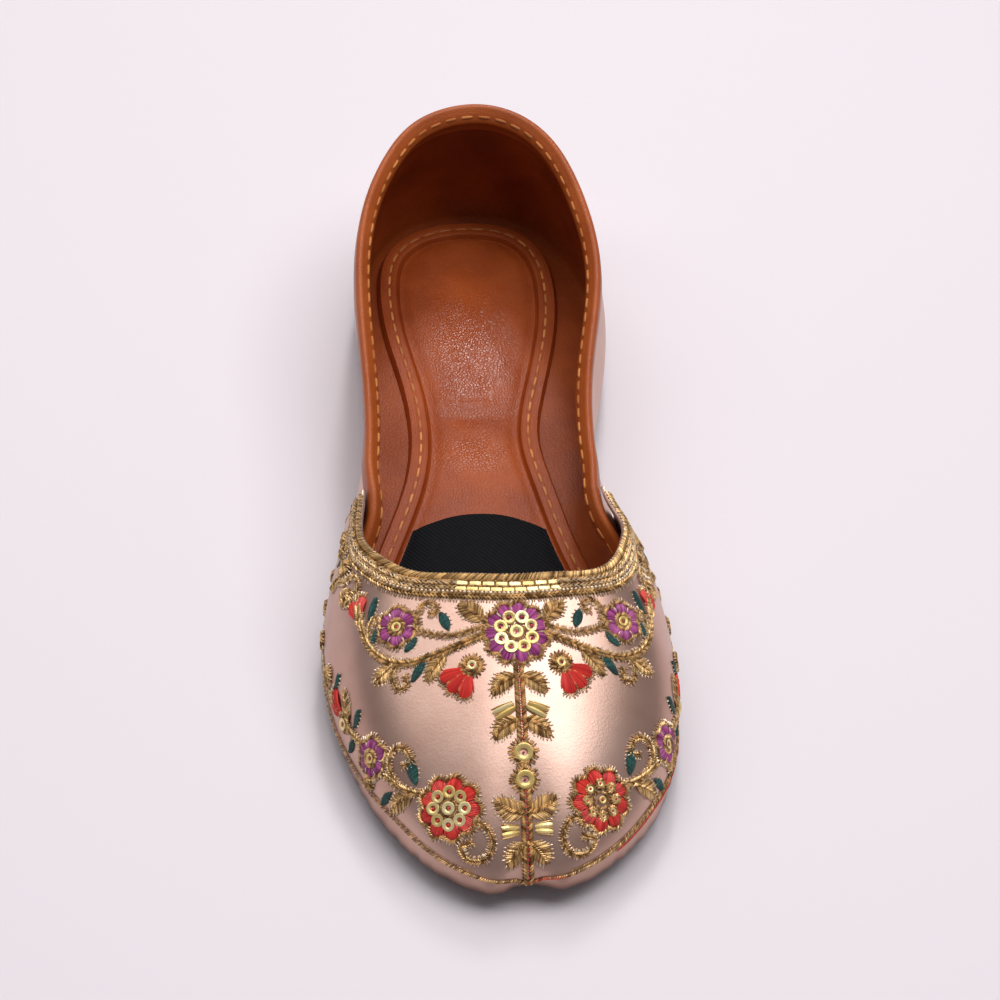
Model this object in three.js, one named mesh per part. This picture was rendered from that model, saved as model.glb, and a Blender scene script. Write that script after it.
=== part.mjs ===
// Flat slip-on court shoe with a notched toe, one right shoe.
// Millimetres, +Z up, toe towards -Y, inner side of the foot towards +X.
import * as THREE from 'three';

// Driving sizes, mm
const LENGTH = 244;            // heel back to toe tip, along the edge where upper meets sole
const FOOT_WIDTH = 86;         // across that edge at the ball of the foot
const HEEL_HEIGHT = 51;        // raw edge of the upper above the sole line's datum, at the heel
const WALL = 1.8;              // leather and lining of the upper, glued together
const VAMP_STEP = 1.0;         // how far the vamp stands proud of the quarter that it overlaps
const OUTSOLE = 3.3;           // thickness of the outsole
const SOLE_LIP = 0.2;          // outsole past the upper
const SOLE_CHAMFER = 0.9;      // broken lower edge of the outsole
const TOE_SPRING = 5.0;        // rise of the outsole under the toe tip
const ARCH_RISE = 1.5;         // rise of the outsole under the waist
const NOTCH_DEPTH = 4.0;       // cleft between the two toe lobes
const NOTCH_WIDTH = 6.5;       // half width of the cleft
const NOTCH_RUN = 34.0;        // length of toe that the cleft pulls in
const NOTCH_SIDE = 2.0;        // cleft's place towards the inner side
const GAP = 0.3;               // clearance between pieces that touch

// Collar binding, mm
const BINDING = 1.0;           // thickness of the rolled leather
const BINDING_OUTER = 2.6;     // how far it comes down outside
const BINDING_INNER = 5.6;     // how far it comes down inside
const BINDING_CROWN = 0.8;     // roundness over the raw edge
const TUCK_CLEAR = 2.2;        // quarter's free front end to the vamp that covers it

// Throat braid, mm
const BRAID_WIDTH = 7.0;
const BRAID = 0.9;             // thickness
const BRAID_LAP = 0.5;         // how far it stops short of the throat edge

// Insole, mm
const INSOLE = 3.6;            // thickness at the rolled border
const INSOLE_BORDER = 6.0;     // width of the stitched border
const INSOLE_STEP = 0.7;       // border above the middle
const INSOLE_ROLL = 1.2;       // rounding of the border's outer edge

// Label patch, mm
const PATCH_LENGTH = 22;
const PATCH = 0.5;
const PATCH_CROWN = 5.0;       // how far its rear edge bows towards the heel
const PATCH_CLEAR = 0.4;       // patch to the insole's border

// Sections round the upper, from the middle of the heel to the tip of the toe. Heading is the way that the
// section faces, in degrees: 0 the inner side, 90 the toe. Along the shoe, lengths are hundredths of LENGTH
// from mid length; across it, of FOOT_WIDTH; upward, of HEEL_HEIGHT. Inner and outer are the two sides.
const SECTION_COLUMNS = [
  'heading', 'footInner', 'footOuter', 'footAlong', 'bulge', 'rise',
  'edgeInner', 'edgeOuter', 'edgeAlong', 'edgeUp', 'reach', 'drop',
];
const SECTIONS = {
  heelBack:   [-90,  0.0,  0.0,  50.0, 3.5, 39,  0.0,  0.0,  48.0, 100.0,  2.3, 39],
  heelTurn:   [-62, 19.8, 19.8,  48.2, 3.5, 39, 15.2, 16.8,  46.0,  99.6,  2.3, 39],
  heelCorner: [-34, 32.0, 33.0,  42.6, 3.5, 37, 26.0, 28.4,  40.9,  97.6,  2.3, 37],
  heelSide:   [-10, 39.5, 39.0,  34.4, 3.0, 33, 33.0, 37.0,  32.8,  93.3,  2.3, 33],
  heelBreast: [  2, 40.4, 38.2,  24.6, 2.6, 29, 35.6, 40.3,  23.0,  86.5,  2.2, 29],
  shank:      [  8, 36.8, 37.0,  15.6, 1.6, 27, 31.3, 39.5,  12.3,  78.8,  1.0, 27],
  waist:      [  4, 32.6, 38.2,   6.6, 1.8, 27, 28.6, 39.0,   2.0,  76.9,  1.8, 25],
  wing:       [ -8, 36.2, 42.2,  -1.6, 3.2, 27, 30.1, 40.7,  -7.0,  75.9,  4.6, 25],
  wingFront:  [ -8, 43.4, 46.8,  -9.8, 4.4, 28, 34.7, 42.0, -11.9,  76.0,  5.2, 24],
  ball:       [  2, 47.7, 51.2, -18.9, 4.6, 28, 34.0, 40.8, -14.8,  77.0,  8.0, 22],
  toeSide:    [ 18, 48.2, 48.8, -27.9, 5.0, 27, 31.4, 35.8, -17.5,  79.6, 13.0, 20],
  toeCorner:  [ 38, 42.4, 39.4, -37.7, 5.0, 24, 25.3, 27.7, -20.0,  83.0, 21.0, 20],
  toeTurn:    [ 62, 26.0, 24.0, -45.9, 4.6, 21, 13.0, 15.1, -21.0,  86.3, 29.0, 20],
  toeTip:     [ 90,  0.0,  0.0, -50.0, 3.8, 20,  0.0,  0.0, -21.5,  87.8, 35.0, 20],
};
const ROUND = 2 * (Object.keys(SECTIONS).length - 1);     // sections round the whole shoe
const WING = Object.keys(SECTIONS).indexOf('wing');       // seam where the vamp overlaps the quarter
const SEAM_HALF = 0.03;                                   // half length of a seam's step, in sections
const TUCK_LAP = 0.6;                                     // quarter's run under the vamp, in sections
const TUCK_END = 1.9;                                     // end of the binding past the wing, in sections
const TUCK_FALL = 0.42;                                   // its fall down the wall there, share of the wall

// Outline of the insole: hundredths of LENGTH along, of FOOT_WIDTH across
const INSOLE_COLUMNS = ['along', 'inner', 'outer'];
const INSOLE_ROWS = [
  [ 48.6,  0.0,  0.0], [ 47.6, 14.0, 15.5], [ 43.6, 24.5, 28.6], [ 37.0, 28.2, 32.6], [ 29.0, 26.6, 31.0],
  [ 20.5, 21.6, 26.6], [ 12.5, 18.2, 25.0], [  4.5, 21.5, 28.2], [ -4.0, 27.5, 36.4], [-13.0, 36.0, 43.5],
  [-22.0, 42.6, 46.0], [-31.0, 40.6, 42.4], [-39.0, 30.0, 30.6], [-44.5, 15.5, 16.0], [-46.2,  0.0,  0.0],
];

// Places along the shoe, hundredths of LENGTH from mid length
const HEEL_PAD = 18;           // front of the flat spot under the heel
const BALL_PAD = -6;           // rear of the flat spot under the ball
const SPRING_START = -18.5;    // front of that flat spot, where the toe spring starts
const PATCH_REAR = 0.7;        // middle of the label patch's rear edge

const share = (percent, size) => percent * size / 100;
const clamp = (x, low, high) => Math.min(high, Math.max(low, x));
const smooth = (a, b, x) => { const s = clamp((x - a) / (b - a), 0, 1); return s * s * (3 - 2 * s); };

// Smooth closed curve through values given for one side and mirrored, or given for both sides
function loop(inner, outer = inner, sign = 1) {
  const y = [...inner, ...outer.slice(1, -1).reverse().map((v) => sign * v)];
  const n = y.length;
  const bend = new Array(n).fill(0);
  for (let pass = 0; pass < 60; pass++) {
    for (let i = 0; i < n; i++) {
      const next = (i + 1) % n, last = (i + n - 1) % n;
      bend[i] = (6 * (y[next] - 2 * y[i] + y[last]) - bend[last] - bend[next]) / 4;
    }
  }
  return (t) => {
    const u = ((t % n) + n) % n;
    const i = Math.floor(u) % n, j = (i + 1) % n, a = u - Math.floor(u);
    return (1 - a) * y[i] + a * y[j] - a * (1 - a) / 6 * ((2 - a) * bend[i] + (1 + a) * bend[j]);
  };
}

const rows = Object.values(SECTIONS);
const column = (name, size) => rows.map((r) => share(r[SECTION_COLUMNS.indexOf(name)], size));
const heading = rows.map((r) => THREE.MathUtils.degToRad(r[0]));
const rail = {
  hx: loop(heading.map(Math.cos), undefined, -1),
  hy: loop(heading.map((a) => -Math.sin(a))),
  fx: loop(column('footInner', FOOT_WIDTH), column('footOuter', FOOT_WIDTH), -1),
  fy: loop(column('footAlong', LENGTH)),
  bulge: loop(column('bulge', FOOT_WIDTH)),
  rise: loop(column('rise', HEEL_HEIGHT)),
  ex: loop(column('edgeInner', FOOT_WIDTH), column('edgeOuter', FOOT_WIDTH), -1),
  ey: loop(column('edgeAlong', LENGTH)),
  ez: loop(column('edgeUp', HEEL_HEIGHT)),
  reach: loop(column('reach', FOOT_WIDTH)),
  drop: loop(column('drop', HEEL_HEIGHT)),
};

// Underside of the outsole: flat at heel and ball, raised at the waist, sprung at the toe
function soleBottom(y) {
  const start = share(SPRING_START, LENGTH);
  const spring = clamp((start - y) / (start + LENGTH / 2), 0, 1.1);
  const rear = share(HEEL_PAD, LENGTH), front = share(BALL_PAD, LENGTH);
  const waist = clamp((y - front) / (rear - front), 0, 1);
  return TOE_SPRING * spring ** 2 + ARCH_RISE * Math.sin(Math.PI * waist) ** 2;
}
const soleTop = (y) => soleBottom(y) + OUTSOLE;

// The cleft pulls everything near the toe tip back towards the heel
function cleft(p) {
  const near = clamp(1 - (p.y + LENGTH / 2) / NOTCH_RUN, 0, 1.3);
  const side = Math.exp(-(((p.x - NOTCH_SIDE) / NOTCH_WIDTH) ** 2));
  return new THREE.Vector3(p.x, p.y + NOTCH_DEPTH * side * near ** 2 * (3 - 2 * Math.min(near, 1)), p.z);
}

function facing(t) {
  return new THREE.Vector3(rail.hx(t), rail.hy(t), 0).normalize();
}

// Outer face of the quarter and its run on under the vamp: t goes round the shoe, v up the wall
function lastFace(t, v) {
  const h = facing(t);
  const foot = new THREE.Vector3(rail.fx(t), rail.fy(t), 0);
  foot.z = soleTop(cleft(foot).y) + GAP;
  const edge = new THREE.Vector3(rail.ex(t), rail.ey(t), rail.ez(t));
  const low = foot.clone().addScaledVector(h, rail.bulge(t)).add(new THREE.Vector3(0, 0, rail.rise(t)));
  const high = edge.clone().addScaledVector(h, rail.reach(t)).sub(new THREE.Vector3(0, 0, rail.drop(t)));
  return new THREE.CubicBezierCurve3(foot, low, high, edge).getPoint(v);
}

// Way out of the wall and way up it, at a place on it
function frameAt(t, v) {
  const e = 1e-3;
  const up = lastFace(t, Math.min(v + e, 1)).sub(lastFace(t, Math.max(v - e, 0))).normalize();
  const along = lastFace(t + e, v).sub(lastFace(t - e, v)).normalize();
  return { out: up.clone().cross(along).normalize(), up };
}

// A point at a height off that face, in the finished shoe; the lower rim stays level with the sole
function wall(t, v, off) {
  const { out } = frameAt(t, v);
  out.z *= smooth(0, 0.25, v);
  return cleft(lastFace(t, v).addScaledVector(out, off));
}

const past = (t) => Math.min(t, ROUND - t);               // sections from the heel back, either side
const stepAt = (t, place) => VAMP_STEP * smooth(place - SEAM_HALF, place + SEAM_HALF, past(t));
const outerFace = (t, v, off = 0) => wall(t, v, stepAt(t, WING) + off);
const innerFace = (t, v, off = 0) => wall(t, v, stepAt(t, WING + TUCK_LAP) - WALL - off);

// Closed solid from rings of points; ends are joined to each other or capped flat
function rings(list, { closed = false } = {}) {
  const n = list[0].length, m = list.length;
  const triangles = [];
  const quad = (a, b, c, d) => triangles.push([a, b, c], [a, c, d]);
  for (let i = 0; i < (closed ? m : m - 1); i++) {
    const p = list[i], q = list[(i + 1) % m];
    for (let j = 0; j < n; j++) {
      const k = (j + 1) % n;
      quad(p[j], p[k], q[k], q[j]);
    }
  }
  if (!closed) {
    triangles.push(...cap(list[0], false), ...cap(list[m - 1], true));
  }
  return solid(triangles);
}

// Flat end of a swept piece
function cap(points, flip) {
  const ring = points.filter((p, i) => p.distanceTo(points[(i + 1) % points.length]) > 1e-3);
  const origin = ring[0];
  const normal = new THREE.Vector3();
  for (let i = 0; i < ring.length; i++) {
    const a = ring[i].clone().sub(origin), b = ring[(i + 1) % ring.length].clone().sub(origin);
    normal.add(a.cross(b));
  }
  normal.normalize();
  const side = ring[1].clone().sub(origin).normalize();
  const other = normal.clone().cross(side);
  const flat = ring.map((p) => {
    const d = p.clone().sub(origin);
    return new THREE.Vector2(d.dot(side), d.dot(other));
  });
  return THREE.ShapeUtils.triangulateShape(flat, []).map(([a, b, c]) =>
    (flip ? [ring[a], ring[b], ring[c]] : [ring[c], ring[b], ring[a]]));
}

// Plate from loops that run from the middle of its top, over the edge, to the middle of its underside.
// The first and last loops are filled by rungs between the two sides, at the heights that level gives.
function plate(loops, columns, topLevel, bottomLevel) {
  const n = loops[0].length;
  const triangles = [];
  for (let i = 0; i < loops.length - 1; i++) {
    for (let j = 0; j < n; j++) {
      const k = (j + 1) % n;
      triangles.push([loops[i][j], loops[i + 1][j], loops[i + 1][k]], [loops[i][j], loops[i + 1][k], loops[i][k]]);
    }
  }
  const fill = (ring, level, flip) => {
    const rungs = [];
    for (let k = 0; k <= n / 2; k++) {
      const a = ring[k], b = ring[(n - k) % n];
      rungs.push(Array.from({ length: columns + 1 }, (_, c) => {
        const p = a.clone().lerp(b, c / columns);
        return c === 0 ? a : c === columns ? b : level(p);
      }));
    }
    for (let k = 0; k < n / 2; k++) {
      for (let c = 0; c < columns; c++) {
        const q = [rungs[k][c], rungs[k + 1][c], rungs[k + 1][c + 1], rungs[k][c + 1]];
        if (flip) q.reverse();
        triangles.push([q[0], q[1], q[2]], [q[0], q[2], q[3]]);
      }
    }
  };
  fill(loops[0], topLevel, false);
  fill(loops[loops.length - 1], bottomLevel, true);
  return solid(triangles);
}

// Geometry from triangles: equal points shared, flat ones left out, faces turned outwards
function solid(triangles) {
  const places = new Map();
  const position = [], index = [];
  const vertex = (p) => {
    const key = [p.x, p.y, p.z].map((v) => Math.round(v * 2000)).join();
    if (!places.has(key)) {
      places.set(key, position.length / 3);
      position.push(p.x, p.y, p.z);
    }
    return places.get(key);
  };
  let volume = 0;
  for (const [a, b, c] of triangles) {
    const [i, j, k] = [vertex(a), vertex(b), vertex(c)];
    if (i === j || j === k || k === i) continue;
    volume += a.dot(b.clone().cross(c));
    index.push(i, j, k);
  }
  if (volume < 0) index.reverse();
  const geometry = new THREE.BufferGeometry();
  geometry.setAttribute('position', new THREE.Float32BufferAttribute(position, 3));
  geometry.setIndex(index);
  geometry.computeVertexNormals();
  return geometry;
}

function mesh(name, geometry, color, roughness, metalness) {
  const piece = new THREE.Mesh(geometry, new THREE.MeshStandardMaterial({ color, roughness, metalness }));
  piece.name = name;
  return piece;
}

const evenly = (count, from, to) => Array.from({ length: count + 1 }, (_, i) => from + (to - from) * i / count);

// Places round the shoe where upper and outsole have a column, closer together at the toe's lobes
const LOBES = ROUND / 2 - 1.5;
const oneSide = [...evenly(4 * LOBES, 0, LOBES), ...evenly(14, LOBES, ROUND / 2).slice(1)];
const COLUMNS = [...oneSide, ...oneSide.slice(1, -1).reverse().map((t) => ROUND - t)];

// Upper: one hollow wall, open at the collar and throat and underneath
function upper() {
  const UP = 9;                                           // rows up the wall
  const steps = [WING - SEAM_HALF, WING + SEAM_HALF, WING + TUCK_LAP - SEAM_HALF, WING + TUCK_LAP + SEAM_HALF];
  const columns = [...COLUMNS.filter((t) => Math.abs(past(t) - WING) > SEAM_HALF), ...steps,
    ...steps.map((t) => ROUND - t)].sort((a, b) => a - b);
  const rise = evenly(UP, 0, 1);
  return rings(columns.map((t) => [
    ...rise.map((v) => outerFace(t, v)),
    ...rise.slice().reverse().map((v) => innerFace(t, v)),
  ]), { closed: true });
}

// Outsole: one thin plate, its lower edge broken
function outsole() {
  const outline = (out, level) => COLUMNS.map((t) => {
    const p = cleft(new THREE.Vector3(rail.fx(t), rail.fy(t), 0).addScaledVector(facing(t), out));
    return p.setZ(level(p.y));
  });
  const inset = (depth, level) => outline(SOLE_LIP - depth, level);
  const middle = 12;                                      // flat middle's distance from the edge
  return plate([
    inset(middle, soleTop), inset(SOLE_LIP + WALL, soleTop), inset(0, soleTop),
    inset(0, (y) => soleBottom(y) + SOLE_CHAMFER),
    inset(SOLE_CHAMFER, soleBottom), inset(middle, soleBottom),
  ], 2, (p) => p.setZ(soleTop(p.y)), (p) => p.setZ(soleBottom(p.y)));
}

// Outline of the insole, pushed in by a distance
const insoleColumn = (name, size) => INSOLE_ROWS.map((r) => share(r[INSOLE_COLUMNS.indexOf(name)], size));
const insoleX = loop(insoleColumn('inner', FOOT_WIDTH), insoleColumn('outer', FOOT_WIDTH), -1);
const insoleY = loop(insoleColumn('along', LENGTH));
const INSOLE_ROUND = 2 * (INSOLE_ROWS.length - 1);
function insoleEdge(t, depth) {
  const e = 1e-3;
  const along = new THREE.Vector3(insoleX(t + e) - insoleX(t - e), insoleY(t + e) - insoleY(t - e), 0).normalize();
  return new THREE.Vector3(insoleX(t) + along.y * depth, insoleY(t) - along.x * depth, 0);
}
const insoleFloor = (y) => soleTop(y) + GAP;
const insoleMiddle = (y) => insoleFloor(y) + INSOLE - INSOLE_STEP;

// Insole: a padded board with a rolled border that stands above its middle
function insole() {
  const EDGE = 72;
  const outline = (depth, height) => evenly(EDGE - 1, 0, INSOLE_ROUND * (EDGE - 1) / EDGE).map((t) => {
    const p = insoleEdge(t, depth);
    return p.setZ(insoleFloor(p.y) + height);
  });
  return plate([
    outline(INSOLE_BORDER + INSOLE_STEP, INSOLE - INSOLE_STEP),
    outline(INSOLE_BORDER, INSOLE), outline(INSOLE_ROLL, INSOLE), outline(0, INSOLE - INSOLE_ROLL),
    outline(0, 0), outline(INSOLE_BORDER, 0),
  ], 2, (p) => p.setZ(insoleMiddle(p.y)), (p) => p.setZ(insoleFloor(p.y)));
}

// Where the insole's middle ends on one side, at a place along the shoe
function insoleSide(y, outer) {
  let low = 2, high = INSOLE_ROWS.length - 3;
  const at = (s) => insoleEdge(outer ? INSOLE_ROUND - s : s, INSOLE_BORDER + INSOLE_STEP + PATCH_CLEAR);
  for (let pass = 0; pass < 40; pass++) {
    const mid = (low + high) / 2;
    if (at(mid).y > y) low = mid; else high = mid;
  }
  return at(low).x;
}

// Label patch: bare woven patch on the insole's middle, from border to border
function labelPatch() {
  const ACROSS = 12, DOWN = 4;
  const rear = share(PATCH_REAR, LENGTH);
  const surface = (height) => evenly(DOWN, 0, 1).map((w) => evenly(ACROSS, 0, 1).map((u) => {
    const bow = PATCH_CROWN * (2 * u - 1) ** 2;
    const y = rear - bow * (1 - w) - PATCH_LENGTH * w;
    const x = THREE.MathUtils.lerp(insoleSide(y, false), insoleSide(y, true), u);
    return new THREE.Vector3(x, y, insoleMiddle(y) + GAP + height);
  }));
  const top = surface(PATCH), low = surface(0);
  return rings(top.map((row, i) => [...row, ...low[i].slice().reverse()]));
}

// Collar binding: rolled over the quarter's raw edge, running on inside the vamp at both ends
function collarBinding() {
  const END = WING + TUCK_END;
  const inner = -WALL - GAP, outer = GAP, edge = GAP;
  const crown = GAP + BINDING + BINDING_CROWN;
  const pinch = BINDING / 50;                             // what is left of the outer leg where it is drawn in
  const retract = WING - 0.22, gone = WING - 0.08;        // outer leg rises, then draws in, before the vamp
  const section = (t) => {
    const lift = smooth(retract - 0.12, retract, t);
    const draw = smooth(retract + 0.02, gone, t);
    const legFoot = THREE.MathUtils.lerp(-BINDING_OUTER, edge, lift);
    const face = THREE.MathUtils.lerp(outer, inner, draw);
    const legFoot2 = THREE.MathUtils.lerp(legFoot, edge, draw);
    const back = THREE.MathUtils.lerp(face + BINDING, face + pinch, draw);
    return [
      [face, legFoot2], [back, legFoot2 + pinch], [back, edge + BINDING * 0.5],
      [THREE.MathUtils.lerp(face + BINDING * 0.5, inner - BINDING * 0.1, draw), edge + BINDING],
      [THREE.MathUtils.lerp(-WALL / 2, inner - BINDING * 0.5, draw), crown - BINDING_CROWN * draw / 2],
      [inner - BINDING * 0.6, edge + BINDING], [inner - BINDING, edge + BINDING * 0.4],
      [inner - BINDING, -BINDING_INNER], [inner, -BINDING_INNER], [inner, edge], [face, edge],
    ];
  };
  const spine = [...evenly(2 * 3 * WING, 0, retract - 0.12), retract, retract + 0.02, (retract + gone) / 2, gone,
    ...evenly(8, WING, END)];
  const ring = (t, side) => {
    const s = side > 0 ? t : (ROUND - t) % ROUND;
    const under = Math.max(0, t - WING) / TUCK_END;
    const v = 1 - TUCK_FALL * under ** 1.2;
    const away = TUCK_CLEAR * smooth(0, 0.35, under);
    const { out, up } = frameAt(s, v);
    const base = lastFace(s, v);
    return section(t).map(([n, u]) => cleft(base.clone().addScaledVector(out, n - away).addScaledVector(up, u)));
  };
  return rings([
    ...spine.slice(1).reverse().map((t) => ring(t, -1)),
    ...spine.map((t) => ring(t, 1)),
  ]);
}

// Throat braid: a flat gold band on the vamp, along its throat from wing to wing
function throatBraid() {
  const start = WING + 0.14;
  return rings(evenly(64, start, ROUND - start).map((t) => {
    const e = 1e-3;
    const speed = lastFace(t, 1).distanceTo(lastFace(t, 1 - e)) / e;
    const v = (mm) => 1 - mm / speed;
    const low = GAP, high = GAP + BRAID;
    const far = BRAID_LAP + BRAID_WIDTH, soft = BRAID / 2;
    return [
      outerFace(t, v(BRAID_LAP), low), outerFace(t, v(BRAID_LAP), low + soft), outerFace(t, v(BRAID_LAP + soft), high),
      outerFace(t, v(far - soft), high), outerFace(t, v(far), low + soft), outerFace(t, v(far), low),
    ];
  }));
}

const shoe = new THREE.Group();
shoe.add(
  mesh('outsole', outsole(), 0x6b5048, 0.7, 0),
  mesh('upper', upper(), 0xc8a596, 0.35, 0.6),
  mesh('insole', insole(), 0xa04b23, 0.5, 0),
  mesh('label_patch', labelPatch(), 0x17171b, 0.9, 0),
  mesh('collar_binding', collarBinding(), 0xa85a33, 0.45, 0),
  mesh('throat_braid', throatBraid(), 0x96692b, 0.4, 0.7),
);

// Origin under the middle of the whole shoe, on the floor
const box = new THREE.Box3().setFromObject(shoe);
shoe.children.forEach((piece) => {
  piece.position.set(-(box.min.x + box.max.x) / 2, -(box.min.y + box.max.y) / 2, -box.min.z);
});

export default shoe;
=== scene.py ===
import math

import bpy
import numpy as np
from mathutils import Matrix, Vector


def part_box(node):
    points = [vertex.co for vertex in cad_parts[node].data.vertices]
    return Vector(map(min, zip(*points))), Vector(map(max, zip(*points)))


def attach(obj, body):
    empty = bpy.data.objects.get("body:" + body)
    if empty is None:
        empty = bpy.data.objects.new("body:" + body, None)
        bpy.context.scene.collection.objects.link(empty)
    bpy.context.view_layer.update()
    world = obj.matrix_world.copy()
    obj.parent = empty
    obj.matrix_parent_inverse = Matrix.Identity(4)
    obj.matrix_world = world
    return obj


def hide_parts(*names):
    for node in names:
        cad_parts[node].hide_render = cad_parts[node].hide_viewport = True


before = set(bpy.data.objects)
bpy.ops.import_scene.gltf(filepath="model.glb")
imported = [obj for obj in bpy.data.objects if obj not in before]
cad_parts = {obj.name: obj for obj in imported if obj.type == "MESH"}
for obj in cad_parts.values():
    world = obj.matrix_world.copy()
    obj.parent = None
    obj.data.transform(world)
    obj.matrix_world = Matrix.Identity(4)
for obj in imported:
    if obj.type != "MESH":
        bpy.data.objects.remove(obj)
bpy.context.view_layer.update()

# Flat slip-on court shoe in rose metallic leather with gold thread work, one right shoe.
# Lengths are millimetres, toe towards -Y, inner side of the foot towards +X, as the frame is.
MM = 0.001

# Driving sizes of the last, as the frame was built
LENGTH = 244.0
FOOT_WIDTH = 86.0
HEEL_HEIGHT = 51.0
WALL = 1.8
VAMP_STEP = 1.0
OUTSOLE = 3.3
SOLE_LIP = 0.2
TOE_SPRING = 5.0
ARCH_RISE = 1.5
NOTCH_DEPTH, NOTCH_WIDTH, NOTCH_RUN, NOTCH_SIDE = 4.0, 6.5, 34.0, 2.0
GAP = 0.3

# Collar binding and the quarter's run inside the vamp's wing
BINDING = 1.0
BINDING_OUTER = 2.6
BINDING_INNER = 5.6
BINDING_CROWN = 0.8
TUCK_CLEAR = 3.1
TUCK_END = 1.9
TUCK_FALL = 0.42

# Insole and label patch; depths are distances in from the insole's edge
INSOLE = 3.6
INSOLE_BORDER = 6.0
INSOLE_STEP = 0.7
INSOLE_ROLL = 1.2
INSOLE_SEAM = 3.7
INSOLE_SINK = 0.35
INSOLE_DEPTHS = (0.0, 0.0, 0.08, 0.25, 0.6, 1.2, 2.0, 2.8, 3.3, 3.7, 4.1, 4.7, 5.3, 5.65, 5.85, 6.0, 6.2, 6.4,
                 6.7, 7.2)
CREASE_ALONG, CREASE_ACROSS = 44.0, -4.0
PATCH_LENGTH = 22.0
PATCH = 0.5
PATCH_CROWN = 5.0
PATCH_CLEAR = 0.4
PATCH_REAR = 0.7

# Sections from the middle of the heel to the toe's tip: heading in degrees, lengths along in hundredths of
# LENGTH from mid length, across in hundredths of FOOT_WIDTH, upward in hundredths of HEEL_HEIGHT
COLUMNS = ("heading", "foot_inner", "foot_outer", "foot_along", "bulge", "rise",
           "edge_inner", "edge_outer", "edge_along", "edge_up", "reach", "drop")
SECTIONS = {
    "heel_back":   (-90,  0.0,  0.0,  50.0, 3.5, 39,  0.0,  0.0,  48.0, 100.0,  2.3, 39),
    "heel_turn":   (-62, 19.8, 19.8,  48.2, 3.5, 39, 15.2, 16.8,  46.0,  99.6,  2.3, 39),
    "heel_corner": (-34, 32.0, 33.0,  42.6, 3.5, 37, 26.0, 28.4,  40.9,  97.6,  2.3, 37),
    "heel_side":   (-10, 39.5, 39.0,  34.4, 3.0, 33, 33.0, 37.0,  32.8,  93.3,  2.3, 33),
    "heel_breast": (  2, 40.4, 38.2,  24.6, 2.6, 29, 35.6, 40.3,  23.0,  86.5,  2.2, 29),
    "shank":       (  8, 36.8, 37.0,  15.6, 1.6, 27, 31.3, 39.5,  12.3,  78.8,  1.0, 27),
    "waist":       (  4, 32.6, 38.2,   6.6, 1.8, 27, 28.6, 39.0,   2.0,  76.9,  1.8, 25),
    "wing":        ( -8, 36.2, 42.2,  -1.6, 3.2, 27, 30.1, 40.7,  -7.0,  75.9,  4.6, 25),
    "wing_front":  ( -8, 43.4, 46.8,  -9.8, 4.4, 28, 34.7, 42.0, -11.9,  76.0,  5.2, 24),
    "ball":        (  2, 47.7, 51.2, -18.9, 4.6, 28, 34.0, 40.8, -14.8,  77.0,  8.0, 22),
    "toe_side":    ( 18, 48.2, 48.8, -27.9, 5.0, 27, 31.4, 35.8, -17.5,  79.6, 13.0, 20),
    "toe_corner":  ( 38, 42.4, 39.4, -37.7, 5.0, 24, 25.3, 27.7, -20.0,  83.0, 21.0, 20),
    "toe_turn":    ( 62, 26.0, 24.0, -45.9, 4.6, 21, 13.0, 15.1, -21.0,  86.3, 29.0, 20),
    "toe_tip":     ( 90,  0.0,  0.0, -50.0, 3.8, 20,  0.0,  0.0, -21.5,  87.8, 35.0, 20),
}
ROUND = 2 * (len(SECTIONS) - 1)
TOE = ROUND / 2
WING = list(SECTIONS).index("wing")
INSOLE_ROWS = (                          # along, inner, outer: the insole's outline in the same shares
    (48.6, 0.0, 0.0), (47.6, 14.0, 15.5), (43.6, 24.5, 28.6), (37.0, 28.2, 32.6), (29.0, 26.6, 31.0),
    (20.5, 21.6, 26.6), (12.5, 18.2, 25.0), (4.5, 21.5, 28.2), (-4.0, 27.5, 36.4), (-13.0, 36.0, 43.5),
    (-22.0, 42.6, 46.0), (-31.0, 40.6, 42.4), (-39.0, 30.0, 30.6), (-44.5, 15.5, 16.0), (-46.2, 0.0, 0.0),
)
HEEL_PAD, BALL_PAD, SPRING_START = 18.0, -6.0, -18.5    # shares of LENGTH, as the sections' places
TINY = 1e-3                              # step for slopes, in sections or in shares up the wall


def smooth(low, high, x):
    s = np.clip((np.asarray(x, float) - low) / (high - low), 0, 1)
    return s * s * (3 - 2 * s)


def loop(inner, outer=None, sign=1):
    """Smooth closed curve through values given for one side and mirrored, or given for both sides."""
    far = list(inner if outer is None else outer)[1:-1][::-1]
    y = np.array(list(inner) + [sign * value for value in far], float)
    n = len(y)
    bend = np.zeros(n)
    for _ in range(60):
        for i in range(n):
            bend[i] = (6 * (y[(i + 1) % n] - 2 * y[i] + y[i - 1]) - bend[i - 1] - bend[(i + 1) % n]) / 4

    def at(t):
        t = np.asarray(t, float) % n
        i = np.floor(t).astype(int) % n
        j = (i + 1) % n
        a = t - np.floor(t)
        return (1 - a) * y[i] + a * y[j] - a * (1 - a) / 6 * ((2 - a) * bend[i] + (1 + a) * bend[j])
    return at


def shares(rows, k, size):
    """One column of a table as lengths."""
    return [row[k] * size / 100 for row in rows]


def column(name, size):
    return shares(SECTIONS.values(), COLUMNS.index(name), size)


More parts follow.
